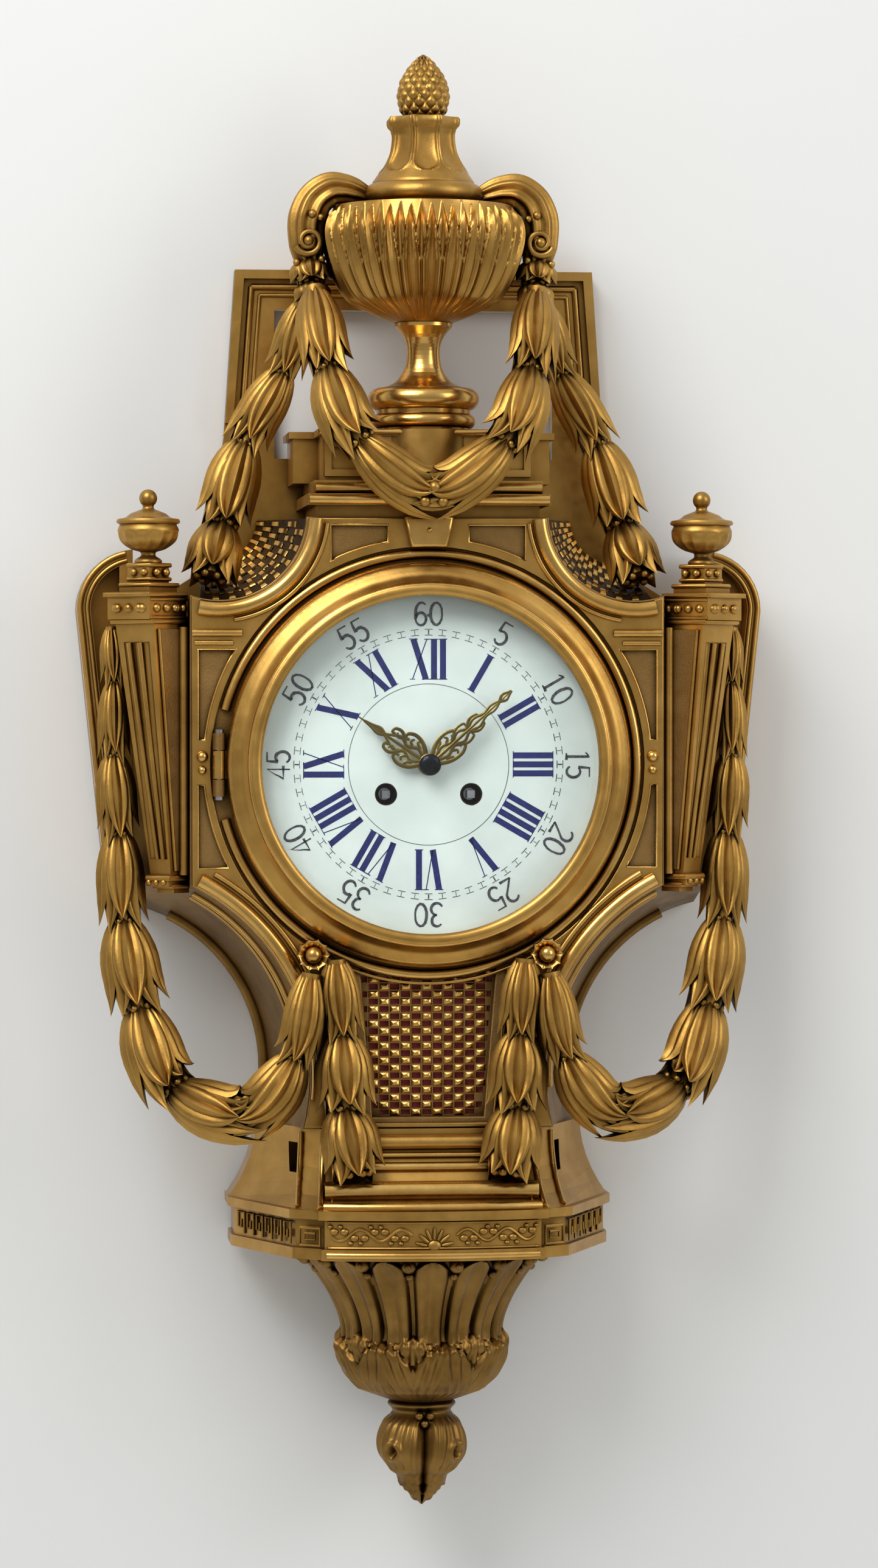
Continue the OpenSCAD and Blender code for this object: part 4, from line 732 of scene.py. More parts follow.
def ribbon(line, half, turn, foot, paint=PAINT):
    """A painted stroke: (across, up) points, standing on a circle at a clock angle."""
    line = np.asarray(line, float)
    run = np.gradient(line, axis=0)
    run /= np.linalg.norm(run, axis=1)[:, None]
    side = np.column_stack([-run[:, 1], run[:, 0]]) * np.broadcast_to(half, len(line))[:, None]
    low = DIAL_FRONT + 0.02
    high = low + paint
    rows = []
    for left, right in zip(line + side, line - side):
        ring = []
        for (across, up), depth in ((left, low), (right, low), (right, high), (left, high)):
            ring.append((across * math.cos(turn) + (foot + up) * math.sin(turn), depth,
                         (foot + up) * math.cos(turn) - across * math.sin(turn)))
        rows.append(ring)
    return rings(rows)


HOUR_FOOT, HOUR_HIGH, THICK, THIN = 37.8, 17.8, 1.35, 0.22
ROMAN_WIDTH = {"I": 4.0, "V": 8.6, "X": 8.8}


def roman(letter, at, turn):
    """One Roman letter with its left side at a place along the numeral."""
    w, h = ROMAN_WIDTH[letter], HOUR_HIGH
    if letter == "I":
        thick, thin = [[(at + w / 2, 0), (at + w / 2, h)]], []
    elif letter == "V":
        thick, thin = [[(at + 1.6, h), (at + 0.52 * w, 0)]], [[(at + 0.52 * w, 0), (at + w - 1.2, h)]]
    else:
        thick, thin = [[(at + 1.6, h), (at + w - 1.6, 0)]], [[(at + 1.2, 0), (at + w - 1.2, h)]]
    strokes = [ribbon(line, THICK, turn, HOUR_FOOT) for line in thick]
    strokes += [ribbon(line, THIN, turn, HOUR_FOOT) for line in thin]
    for line in thick + thin:
        serif = 1.9 if line in thick else 1.2
        # The two strokes of a V meet in a point without a serif
        for x, y in line:
            if letter != "V" or y > 0:
                strokes.append(ribbon([(x - serif, y), (x + serif, y)], 0.2, turn, HOUR_FOOT, PAINT + 0.01))
    return strokes


hours = []
for hour, numeral in enumerate("XII I II III IIII V VI VII VIII IX X XI".split()):
    along = -sum(ROMAN_WIDTH[letter] for letter in numeral) / 2
    for letter in numeral:
        hours += roman(letter, along, hour * math.pi / 6)
        along += ROMAN_WIDTH[letter]
piece("blue_hours", join(hours), blue_enamel)
print("strokes of the hours:", len(hours))

# %% [markdown]
# ## Minutes
# Black Arabic numerals stand outside a dashed track with a stroke at every minute. A font would
# give strokes of even width, so the same ribbons draw them, with a width that swells along each
# stroke as a pen's does. Each digit is a few arcs and lines in a box one wide and two high.


# %% Arabic minutes
def bow(start, end, x, y, w, h):
    """Part of an ellipse from one angle to another, in the box of a digit."""
    return [(x + w * math.cos(t), y + h * math.sin(t)) for t in np.linspace(start, end, 14)]


DIGITS = {
    "0": [bow(0, 2 * math.pi, 0.5, 1, 0.42, 0.95)],
    "1": [[(0.2, 1.6), (0.5, 1.95), (0.5, 0)], [(0.25, 0), (0.75, 0)]],
    "2": [bow(2.8, -0.9, 0.5, 1.45, 0.4, 0.5) + [(0.08, 0.0)], [(0.08, 0.02), (0.92, 0.02)]],
    "3": [bow(2.6, -1.5, 0.46, 1.5, 0.36, 0.46), bow(1.6, -2.7, 0.46, 0.52, 0.42, 0.52)],
    "4": [[(0.72, 0), (0.72, 1.95), (0.05, 0.6), (0.98, 0.6)]],
    "5": [[(0.85, 1.95), (0.2, 1.95), (0.14, 1.05)], bow(2.3, -2.6, 0.46, 0.62, 0.42, 0.6)],
    "6": [bow(0.9, math.pi, 0.56, 1.0, 0.44, 0.95) + bow(math.pi, -math.pi, 0.5, 0.58, 0.38, 0.56)],
}
MINUTE_FOOT, MINUTE_HIGH, DIGIT_WIDE, DIGIT_GAP = 61.6, 10.2, 6.2, 0.7
TRACK_IN, TRACK_OUT, HOUR_CIRCLE = 57.4, 60.0, 35.8  # radii
minutes = []
for five in range(1, 13):
    digits = str(5 * five)
    for place_in_row, digit in enumerate(digits):
        left = (place_in_row - len(digits) / 2) * (DIGIT_WIDE + DIGIT_GAP) + DIGIT_GAP / 2
        for stroke in DIGITS[digit]:
            # A curve swells once in its middle, a straight stroke towards its end
            pressed = np.linspace(0.4, 2.7, len(stroke)) * (1 if len(stroke) > 4 else 0.5)
            drawn = [(left + x * DIGIT_WIDE, y * MINUTE_HIGH / 2) for x, y in stroke]
            half = 0.26 + 0.42 * np.abs(np.sin(pressed))
            minutes.append(ribbon(drawn, half, five * math.pi / 6, MINUTE_FOOT))


def round_stroke(r, start, end, half):
    """A thin stroke along a circle, between two clock angles."""
    return ribbon([(r * math.sin(t), r * math.cos(t)) for t in np.linspace(start, end, 7)], half, 0, 0)


for minute in range(60):
    around = minute * math.pi / 30
    minutes += [round_stroke(r, around - 0.03, around + 0.03, 0.16) for r in (TRACK_IN, TRACK_OUT)]
    tick = [(0, 0.3), (0, TRACK_OUT - TRACK_IN - 0.3)]
    minutes.append(ribbon(tick, 0.3 if minute % 5 == 0 else 0.14, around, TRACK_IN))
# A fine circle rounds off the hours, and a rivet shows at sixty
CIRCLE_STEP = math.radians(15)
minutes += [round_stroke(HOUR_CIRCLE, k * CIRCLE_STEP, (k + 1) * CIRCLE_STEP, 0.13) for k in range(24)]
minutes.append(ball([0, DIAL_FRONT, MINUTE_FOOT + 4.6], 0.7))
piece("black_minutes", join(minutes), black_enamel)
print("strokes of the minutes:", len(minutes))

# %% [markdown]
# ## Winding holes and bezel
# A near-black sleeve lines each winding hole and paints the shade inside it, so that the steel
# square stands in the dark. The ring that carries the glass was turned with one soft ogee from its
# outer shoulder to the bead beside the glass. A bevel would change the solid ring itself, so a
# smooth profile is turned over its steps and rides on the hinged bezel.

# %% Sleeves and ogee
WINDING_DROP, WINDING_OUT = -13.2, 19
SLEEVE = [(2.7, 71.2), (4.85, 71.2), (4.85, 79.8), (4.55, 79.8), (4.55, 71.6), (2.7, 71.6)]
sleeves = [hoop(SLEEVE, x, WINDING_DROP, 40) for x in (WINDING_OUT, -WINDING_OUT)]
# The sleeves are near-black to paint the shade inside the winding holes
piece("winding_hole_sleeves", join(sleeves), painted_shade_bronze)
ogee_front = through([(90.2, 83.4), (88.8, 86.4), (86, 88.4), (83.4, 90), (81.2, 92.6), (79.6, 94.6),
                      (77.8, 95.2), (76, 94.8), (74.9, 93.6)], 6)
OGEE_BACK = [(74.9, 91), (78, 90.6), (84, 82), (90, 79)]
piece("bezel_ogee", hoop(list(ogee_front) + OGEE_BACK, 0, 0, 240), satin_gilt, "bezel_door")
print("bezel: from radius", OGEE_BACK[0][0], "to", ogee_front[0, 0])

# %% [markdown]
# ## Hands
# The hands are sawn from gilt brass in scrolls. A sheet with holes could be cut by booleans, but
# thin bars are hard to cut cleanly, so each hand is drawn as flattened rods either side of a
# spine, then turned to eight minutes past ten, where the solid hands stand.


# %% Pierced hands
def scroll_hand(spine, curves, turn, depth):
    """A pierced hand from half curves of (along, across) points with a radius, mirrored on a spine."""

    def bar_of(line, radius):
        flat = np.column_stack([line[:, 0] * math.sin(turn) + line[:, 1] * math.cos(turn), 0 * line[:, 0],
                                line[:, 0] * math.cos(turn) - line[:, 1] * math.sin(turn)])
        points, faces = tube(flat, radius, 8)
        return points * [1, 0.42, 1] + [0, depth, 0], faces

    parts = []
    for outline, r in curves:
        line = through(outline, 8)
        radius = np.linspace(r, 0.6 * r, len(line))
        parts += [bar_of(line, radius), bar_of(line * [1, -1], radius)]
    middle_bar = through(spine, 8)
    return parts + [bar_of(middle_bar, np.linspace(1.0, 0.35, len(middle_bar)))]


HOUR_CURVES = [
    ([(4, 1.2), (8, 3.0), (12.5, 1.4), (17, 3.2), (21, 1.6), (24, 0.2)], 0.95),
    ([(3.5, 2.6), (7.5, 6.2), (12, 7.4), (15.4, 6.0), (15.2, 3.9), (13.4, 4.2)], 1.1),
    ([(13.5, 1.4), (17.6, 5.2), (21.2, 5.0), (21.8, 3.0), (20, 2.9)], 0.95),
    ([(7, 3.4), (9.5, 5.2), (8.4, 6.6)], 0.9),
    ([(10.6, 2.4), (12.4, 4.0), (11.6, 5.6)], 0.85),
    ([(16.4, 3.0), (18.6, 2.4), (19.6, 4.0)], 0.75),
    ([(24, 0.2), (27, 1.3), (31, 0.5), (35, 0.1)], 0.9),
]
MINUTE_CURVES = [
    ([(4, 1.0), (9, 2.4), (14, 1.0), (18.5, 2.6), (23, 1.0), (28, 2.2), (33, 0.8), (37.5, 1.4),
      (42, 0.2)], 0.9),
    ([(3.5, 2.6), (8.5, 5.2), (14, 5.8), (17.6, 4.2), (17, 2.6), (15.2, 3.0)], 1.05),
    ([(7, 2.8), (10, 4.4), (9, 5.4)], 0.85),
    ([(11.6, 2.0), (13.4, 3.4), (12.6, 4.8)], 0.8),
    ([(14, 1.0), (19, 4.0), (23, 3.6), (23.4, 2.2)], 0.85),
    ([(23, 1.2), (26.6, 3.4), (30, 2.8), (30.4, 1.6)], 0.8),
    ([(42, 0.2), (44.5, 1.5), (47, 0.7), (49, 0.1)], 0.8),
]
COLLAR = [([(4.2 * math.cos(a), 4.2 * math.sin(a)) for a in np.linspace(0, math.pi, 9)], 1.0)]
hour_hand = scroll_hand([(3, 0), (20, 0), (38, 0)], HOUR_CURVES + COLLAR, math.radians(304), 83.5)
minute_hand = scroll_hand([(3, 0), (24, 0), (49, 0)], MINUTE_CURVES + COLLAR, math.radians(48), 86.5)
piece("pierced_hour_hand", join(hour_hand), pierced_gilt, "hour_works", ["hour_hand"])
piece("pierced_minute_hand", join(minute_hand), pierced_gilt, "minute_works", ["minute_hand"])
BOSS = [(4.8, 86.9), (4.8, 87.7), (4.2, 88.5), (2.6, 89.0), (1.2, 89.1)]
piece("blued_hand_boss", rings(spun_rows(BOSS, 0, 0, 40)), dark_steel, "minute_works", ["hand_nut"])
print("hands:", len(hour_hand), "and", len(minute_hand), "rods")

# %% [markdown]
# ## Culot
# The culot is the bell that carries the clock downwards: reeds with round heads, hollowed along
# their middle, with deep grooves and small rosettes between the heads, and a cup of acanthus
# round the foot. The leaves could be separate meshes pressed into the bell, but on a casting
# everything grows out of one skin, so one formula of angle and way says how far the chasing
# stands off the turned line.

# %% Culot
CULOT_DEPTH, FRIEZE_FOOT, BACK_FACE = 46, -218, 2.0
REEDS, REED_HIGH, GROOVE_DEEP = 16, 5.6, 4.4


def culot_reeds(angle, way):
    """Reeds under round heads, hollowed along their middle and sunk between two plain bands."""
    t = from_middle(angle, REEDS, 0.5)
    half = 0.84 * np.sqrt(1 - (1 - rise(way, 0.02, 0.13)) ** 2)
    reed = np.sqrt(np.clip(1 - (t / np.maximum(half, 1e-3)) ** 2, 0, 1))
    trough = 0.55 * swell(t, 0, np.maximum(0.45 * half, 1e-3))
    sunk = rise(way, 0, 0.02) * rise(way, 0.66, 0.46)
    return sunk * (REED_HIGH * (reed - trough) * (half > 0.05) - GROOVE_DEEP)


def culot_leaves(angle, way, shift, top, high):
    """A row of broad leaves with lobed edges and tips rolled out, and where the row stands."""
    u = from_middle(angle, REEDS / 2, shift)
    edge = top + 0.13 * u**2.4 + 0.018 * np.abs(np.sin(u * 3.5 * math.pi)) * (u < 0.95)
    leaf = rise(way - edge, 0, 0.03) * rise(way, 1, 0.88)
    chasing = 0.55 * np.sin((u * 6 - way * 9) * math.pi) + 0.9 * swell(u, 0, 0.09)
    curl = 1.5 * swell(way - edge, 0.05, 0.04) * (1 - 0.6 * u)
    return leaf * (high + chasing + curl), leaf


def culot_relief(angle, way):
    """Front leaves over the leaves behind them, and reeds where neither stands."""
    front, front_leaf = culot_leaves(angle, way, 0.25, 0.53, 1.5)
    behind, behind_leaf = culot_leaves(angle, way, 0.75, 0.50, 0.2)
    chased = np.where(front_leaf > 0.02, front, behind)
    return np.where(front_leaf + behind_leaf > 0.02, chased, culot_reeds(angle, way))


culot_curve = through([(59, 0), (50, -10), (41.8, -22.8), (37.4, -34.5), (37, -45), (33.6, -56.6),
                       (27, -63.5)], 20)
culot_line = np.vstack([culot_curve, [(15, -69)]]) + [0, FRIEZE_FOOT]
bell_points, bell_faces = lathe(culot_line, CULOT_DEPTH, REEDS * 36, culot_relief)
# The back is cut flat, a little off the wall
bell_points[:, 1] = np.maximum(bell_points[:, 1], BACK_FACE)
culot = [(bell_points, bell_faces)]
for k in range(-4, 4):
    between = 2 * math.pi * (k + 0.5) / REEDS
    for fall, out, r in ((3.2, -1.4, 3.3), (3.2, 1.4, 1.5), (8.4, -1.6, 1.9)):
        q = np.interp(fall, FRIEZE_FOOT - culot_line[:, 1], culot_line[:, 0]) + out
        spot = [q * math.sin(between), CULOT_DEPTH + q * math.cos(between), FRIEZE_FOOT - fall]
        culot.append(ball(spot, r, 14))
# The darker gilding paints the shade that falls on the base
piece("culot_reeds_and_leaves", join(culot), shade_darkened_gilt, stands_for=["culot"])
print("culot:", REEDS, "reeds,", len(culot) - 1, "pearls in its rosettes")

# %% [markdown]
# ## Bud
# The bud below has four leaves, each rolled up round an eye, over a point of three toothed rows.
# Petals could be set round a core one by one, but turned work with relief, as on the culot, keeps
# every seam closed.

# %% Bud
BUD_LEAVES, BUD_TOP = 4, -287


def bud_relief(angle, way):
    """Four rolled leaves with folds between them, over rows of teeth."""
    lobe = (angle * BUD_LEAVES / 2 / math.pi) % 1 - 0.5
    t = np.abs(lobe) * 2
    grown = rise(way, 0.14, 0.22)
    lobes = grown * rise(way, 0.70, 0.66)
    fold = -6.0 * rise(t, 0.66, 1) ** 1.3 * grown * (1 - way) ** 0.3
    pleat = 0.45 * np.cos(lobe * 44 + 9 * way) * lobes * rise(t, 0.9, 0.7)
    # Each leaf rolls up round a small eye, and its tip stands off the toothed leaf below
    eye = np.hypot(lobe * 32, (way - 0.44) * 60) / 3.6
    roll = 1.5 * swell(eye, 1.1, 0.4) - 2.6 * swell(eye, 0, 0.55)
    curl = 1.3 * swell(way, 0.64, 0.05) * np.clip(1 - t, 0, 1)
    # Three rows of teeth swell towards their zigzag ends and drop back under them
    teeth = 0
    for shift, ends in ((0.0, 0.80), (0.5, 0.885), (0.0, 0.96)):
        end = ends - 0.05 * from_middle(angle, 2 * BUD_LEAVES, shift)
        teeth = teeth + 1.7 * rise(way - end, -0.09, 0) * rise(end - way, 0, 0.008)
    return (fold + pleat + roll * lobes + curl + teeth) * rise(way, 1, 0.97)


bud_line = through([(14, 0), (15.4, -2), (13.4, -4.6), (14, -6.5), (18.2, -11), (20.4, -18), (19.6, -25),
                    (15.6, -30.6), (12.2, -33.6), (9.6, -37.5), (5.8, -42.5), (0.5, -48)], 14) + [0, BUD_TOP]
bud = [lathe(bud_line, CULOT_DEPTH, 288, bud_relief)]
bud += [ball([x, CULOT_DEPTH + 15.4, BUD_TOP - fall], 1.9) for x, fall in ((-2.4, 6), (2.4, 6), (0, 9.6))]
# The darker gilding paints the shade that falls on the base
piece("bottom_bud", join(bud), shade_darkened_gilt, stands_for=["bottom_finial"])
print("base dressed down to", round(float(bud_line[-1, 1])))

# %% [markdown]
# ## The case front
# The front is one casting with hollow shoulders and flanks and a stippled ground. Booleans on a
# box could cut it, but a filled 2D curve gives the plate with its holes and a small rounded
# edge at once, and a sharp edge would catch no light.


# %% Ground of the front
def arc(centre, r, start, end, steps=24):
    """Points along an arc, angles in degrees, anticlockwise from the right."""
    a = np.radians(np.linspace(start, end, steps))
    return np.column_stack([centre[0] + r * np.cos(a), centre[1] + r * np.sin(a)])


def both(line):
    """A right-hand outline and its mirror, as one closed outline."""
    return np.vstack([line, line[::-1] * [-1, 1]])


def pierced(outlines, back, front, edge=0.5):
    """A plate with holes: closed outlines of (x, z) pairs between two depths, its edges rounded."""
    shape = bpy.data.curves.new("outline", "CURVE")
    shape.dimensions, shape.fill_mode = "2D", "BOTH"
    shape.extrude, shape.bevel_depth = (front - back) / 2 - edge, edge
    shape.bevel_resolution, shape.offset = 1, -edge
    for line in outlines:
        spline = shape.splines.new("POLY")
        spline.points.add(len(line) - 1)
        for point, (x, z) in zip(spline.points, line):
            point.co = (x, z, 0, 1)
        spline.use_cyclic_u = True
    holder = bpy.data.objects.new("outline", shape)
    mesh = bpy.data.meshes.new_from_object(holder)
    points = np.array([(v.co.x, (back + front) / 2 + v.co.z, v.co.y) for v in mesh.vertices])
    faces = [tuple(p.vertices) for p in mesh.polygons]
    bpy.data.objects.remove(holder)
    bpy.data.curves.remove(shape)
    bpy.data.meshes.remove(mesh)
    return points, faces


DIAL, CASE_FRONT, FRONT_BACK, FRAME_THICK = (0, 0), 78, 72, 6
SHOULDER, SHOULDER_R, FLANK, FLANK_R = (93, 112), 39, (147.1, -138.6), 94
GRILLE_FOOT, GRILLE_HALF, FRONT_TOP = -157, 25, 110
front_line = both(np.vstack([arc(FLANK, FLANK_R, 194.4, 115.9), arc(SHOULDER, SHOULDER_R, 289.5, 183)]))
grille_line = np.vstack([arc(DIAL, 94, 251, 289, 20),
                         [(GRILLE_HALF, GRILLE_FOOT), (-GRILLE_HALF, GRILLE_FOOT)]])
ground = [pierced([front_line, arc(DIAL, 60, 0, 355, 72), grille_line], FRONT_BACK, CASE_FRONT)]
ground.append(plate([(-50, 106), (50, 106), (50, FRONT_TOP), (-50, FRONT_TOP)], FRAME_THICK, FRONT_BACK))
# Two knuckles of the bezel's hinge stand on small blocks
HINGE_X, HINGE_DEPTH, KNUCKLE = -93.2, 82, 2.8
for low, high in ((6.6, 14), (-14, -6.6)):
    axis = np.linspace((HINGE_X, HINGE_DEPTH, low), (HINGE_X, HINGE_DEPTH, high), 5)
    ground.append(tube(axis, KNUCKLE, 20))
    near, far = HINGE_X - KNUCKLE, HINGE_X + KNUCKLE
    ground.append(plate([(near, low), (far, low), (far, high), (near, high)], CASE_FRONT - 1, HINGE_DEPTH))
piece("stippled_front_ground", join(ground), ground_gilt, stands_for=["case_front"], crease=35)
print("ground of the front:", len(ground), "parts")

# %% [markdown]
# ## Border and beads
# A raised border leaves sunk panels beside the bezel and either side of the keystone, and
# burnished beads follow the hollows and frame the panels. Mouldings could be a profile swept
# by a curve object, but round rods are enough at this size.

# %% Border and panels
BORDER_FRONT = 79.9
upper = np.vstack([[(102.5, 51), (102.5, 11)], arc(DIAL, 100, 6.3, 30.7, 12)])
lower = np.vstack([[(102.5, -46), (102.5, -9)], arc(DIAL, 100, -5.2, -27.4, 12)])
crown = np.vstack([[(18, 106.5), (43.5, 106.5)], arc(DIAL, 100.5, 64.4, 79.7, 10)])
panels = []
for panel_line in (upper, lower, crown):
    panels += [panel_line, panel_line * [-1, 1]]
inner = both(np.vstack([arc(FLANK, FLANK_R + 0.6, 193.9, 116.4),
                        arc(SHOULDER, SHOULDER_R + 0.6, 288.3, 183.8)]))
apron = np.vstack([arc(DIAL, 98, 249, 291, 20), [(28.5, -159.5), (-28.5, -159.5)]])
border = pierced([inner, arc(DIAL, 96.8, 0, 355, 90)] + panels + [apron], CASE_FRONT, BORDER_FRONT, 0.45)
piece("front_border", border, satin_gilt, crease=35)
print("border with", len(panels), "panels")

# %% [markdown]
# ## Beads, keystone and rosettes
# The keystone and the pearls could be objects of their own, but they were burnished together with
# the beads, so they join one piece. Rosettes hold the inner ends of the swags: ten petals,
# scalloped as they are turned, round a pearl.


# %% Beads
def bead(centre, r, start, end, thick, depth=80, steps=40):
    """A round moulding along an arc of the front."""
    return tube(at_depth(arc(centre, r, start, end, steps), depth), thick, 14)


def bar(a, b, thick):
    """A straight round moulding between two points."""
    return tube(np.linspace(a, b, 6), thick, 14)


right_beads = [
    bead(SHOULDER, SHOULDER_R + 4.2, 184, 282, 3.5), bead(SHOULDER, SHOULDER_R + 9.2, 186, 262, 1.1),
    bead(FLANK, FLANK_R + 4.4, 117.5, 186, 3.4), bead(FLANK, FLANK_R + 10, 120, 172, 1.3),
    # Two more run along the wall of the flank, behind the front
    bead(FLANK, FLANK_R - 2.2, 118, 184, 1.9, 64), bead(FLANK, FLANK_R - 4.4, 118, 184, 1.0, 56),
    bar((83, 80, 58.4), (105, 80, 58.4), 1.7), bar((87, 80, 54), (104, 80, 54), 1.1),
    ball([100.6, 80, 3.6], 2.6, 16), ball([100.6, 80, -2.4], 1.9, 16)]
for panel_line in (upper, lower, crown):
    loop = np.vstack([panel_line, panel_line[:2]])
    right_beads.append(tube(at_depth(loop, BORDER_FRONT - 0.3), 0.55, 8))
beads = right_beads + [mirrored(part) for part in right_beads]
# The bezel's seat stops short of the hinge on the left
beads.append(bead(DIAL, 93.6, -165, 165, 2.2, 78.9, 120))
KEYSTONE = [(-8, 96.4), (8, 96.4), (11, FRONT_TOP), (-11, FRONT_TOP)]
beads.append(pierced([KEYSTONE], CASE_FRONT, CASE_FRONT + 7, 1.2))
beads.append(ball([0, CASE_FRONT + 7.2, 104], 1.1))
piece("burnished_beads", join(beads), burnished_gilt)
BUTTON_X, BUTTON_Z = 52, -84
PETALS = [(3, 80), (3, 86.6), (6.2, 87), (7.6, 88.6), (7.2, 90.6), (5.4, 90), (3.6, 88.8), (0.4, 88.6)]
petals = rings(spun_rows(PETALS, BUTTON_X, BUTTON_Z, 80, 10))
rosette = join([petals, ball([BUTTON_X, 90.4, BUTTON_Z], 3.7, 18)])
piece("swag_rosettes", join([rosette, mirrored(rosette)]), burnished_gilt, stands_for=["swag_buttons"])
print("front:", len(beads), "mouldings and pearls, and 2 rosettes")

# %% [markdown]
# ## Corners of the case
# A pilaster stands cornerwise at each side. Its capital carries framed rows of pearls on both
# faces, blocks step up to a squat urn with a ball, reeds stand in its flutes, and a quarter
# round fills the corner to the front. The parts could be built square and then turned, but a
# function of the pilaster's own two directions puts each one in its place at once.

# %% Capitals and shafts
CORNER, CORNER_DEPTH, ABACUS = 106, 70, 24.5
SHAFT_FOOT, SHAFT_TOP = -47, 60


def on_corner(u, v, z):
    """A point of the pilaster: u and v run out along its two faces from the case corner."""
    return CORNER + (u + v) * math.sqrt(0.5), CORNER_DEPTH + (u - v) * math.sqrt(0.5), z


def corner_rod(route, z, thick, sides=10):
    """A moulding at one height, along (u, v) points of the pilaster."""
    return tube([on_corner(u, v, z) for u, v in route], thick, sides)


capital = []
for z, thick, out in ((75.3, 1.1, 26.2), (73.2, 0.8, 24.8), (65.2, 0.8, 24.8), (63.4, 1.2, 24.2)):
    # The moulding runs along the inner face, round the front edge and back along the outer face
    route = ((2, -0.2), (out / 2, -0.2), (out, -0.2), (out, out / 2), (out, out))
    capital.append(corner_rod(route, z, thick))
for u, v in ((1.2, -0.1), (24.6, 1.0), (24.6, 24)):
    capital.append(tube([on_corner(u, v, z) for z in (65, 69, 73)], 0.8, 8))
capital += [ball(on_corner(24.8, 25 * k / 6 + 0.2, 69.2), 2.3, 14) for k in (1.1, 3.0, 4.9)]
capital += [ball(on_corner(4 + 5.6 * k, -0.2, 69.4), 1.8, 14) for k in range(4)]
# Steps under the urn: two pearls on each visible face, between fillets
for k in (0, 1):
    capital.append(ball(on_corner(19.2, 9.2 + 6 * k, 85.2), 1.9, 12))
    capital.append(ball(on_corner(9.2 + 6 * k, 5.4, 85.2), 1.9, 12))
for z, thick, near, far in ((79.6, 1.0, 3.4, 21.6), (82.2, 0.9, 5.8, 19.2), (88.4, 1.0, 5.8, 19.2)):
    capital.append(corner_rod(((near, near), (far, near), (far, far)), z, thick, 8))
# Foot of the shaft, and a quarter round in the corner between shaft and front
capital.append(corner_rod(((2, -0.2), (13.2, -0.2), (13.2, 13)), -50.4, 1.4))
capital.append(corner_rod(((2, -0.2), (11, -0.2), (11, 11)), -54, 1.2))
capital += [ball(on_corner(13.4, 3 + 4.4 * k, -52.2), 1.5, 10) for k in range(3)]
capital.append(tube([(108.6, 74.2, z) for z in np.linspace(-49, 61, 8)], 2.5, 16))
# Two reeds stand in the flutes of the outer face, which widens upwards
for share in (0.36, 0.64):
    reed = [on_corner(12.15 + 11 * s, share * (12 + 11 * s), -42 + 96 * s) for s in np.linspace(0, 1, 6)]
    capital.append(tube(reed, 1.2, 10))
# The inner face is a plain matt panel with a fillet along its outer edge
PANEL = ((2.6, SHAFT_FOOT), (9.6, SHAFT_FOOT), (20.2, SHAFT_TOP), (2.6, SHAFT_TOP))
panel_points = [on_corner(u, v, z) for v in (-0.05, -0.6) for u, z in PANEL]
pair("shaft_panel", (panel_points, BLOCK), ground_gilt)
capital.append(tube(np.linspace(panel_points[5], panel_points[6], 6), 0.8, 8))
pair("capital", join(capital), satin_gilt)
print("capital:", len(capital), "parts")

# %% [markdown]
# ## Corner urns
# Each capital carries a squat vase with a lobed belly, a lid and a ball. Its parts could be
# stacked as separate turnings, but the real one was cast in one piece, so one profile runs from
# the foot to the knob.

# %% Corner urns
LITTLE_FOOT = 89.3
foot_line = [(4, 0), (6, 0), (6.2, 1), (5.4, 2), (3.4, 3.2), (3.2, 4.2)]
belly = list(through([(3.6, 5), (8.4, 6.6), (12.6, 10), (13.6, 14.4), (12.6, 17.2)], 8))
lid = [(13.9, 17.8), (14.2, 18.6), (13.6, 19.6), (11, 20), (9.6, 20.6), (8, 22), (5, 23.2), (2.8, 24),
       (2.4, 25)]
knob = [(4.0 * math.sin(a), 28.8 - 4.0 * math.cos(a)) for a in np.linspace(0.7, 3.08, 12)]
vase_line = np.asarray(foot_line + belly + lid + knob) + [0, LITTLE_FOOT]


def belly_lobes(angle, way):
    """Fourteen lobes round the belly, smooth towards foot and lid."""
    return -0.8 * np.abs(np.sin(7 * angle)) * rise(way, 0.24, 0.28) * rise(way, 0.44, 0.41)


for flip, hand in ((1, "right"), (-1, "left")):
    vase_across = flip * (CORNER + ABACUS * math.sqrt(0.5) + 0.7)
    vase = lathe(vase_line, CORNER_DEPTH, 112, belly_lobes, vase_across)
    piece("little_urn_" + hand, vase, matt_gilt, stands_for=["corner_urn_" + hand])
print("little urns at", round(vase_across, 1), "mm to each side")

# %% [markdown]
# ## Lattice of the shoulders
# In the hollow shoulder a lattice of small raised squares lets the sound of the bell out. A
# texture could fake it, but the squares glitter because each is a small block with sloping
# sides, so blocks are laid round the hollow.

# %% Lattice
RING_STEPS, DEPTH_STEPS, SQUARE_HIGH = 17, 6, 1.1
HOLLOW_START, HOLLOW_SWEEP, HOLLOW_NARROWS = 185, 95, 18  # degrees, and mm from the front to the wall
# Corners of a square as shares of its cell, and whether they stand proud
SQUARE = [(0.08, 0.08, 0), (0.92, 0.08, 0), (0.92, 0.92, 0), (0.08, 0.92, 0),
          (0.16, 0.14, 1), (0.84, 0.14, 1), (0.84, 0.86, 1), (0.16, 0.86, 1)]
lattice = []
for i in range(RING_STEPS):
    for k in range(i % 2, DEPTH_STEPS, 2):
        corners = []
        for u, w, proud in SQUARE:
            a = math.radians(HOLLOW_START + HOLLOW_SWEEP * (i + u) / RING_STEPS)
            share = (k + w) / DEPTH_STEPS
            r = SHOULDER_R - HOLLOW_NARROWS * (1 - share) + 0.3 - SQUARE_HIGH * proud
            corners.append((SHOULDER[0] + r * math.cos(a), FRAME_THICK + (FRONT_BACK - FRAME_THICK) * share,
                            SHOULDER[1] + r * math.sin(a)))
        lattice.append((corners, BLOCK))
pair("lattice", join(lattice), burnished_gilt)
print("lattice:", len(lattice), "squares a side")

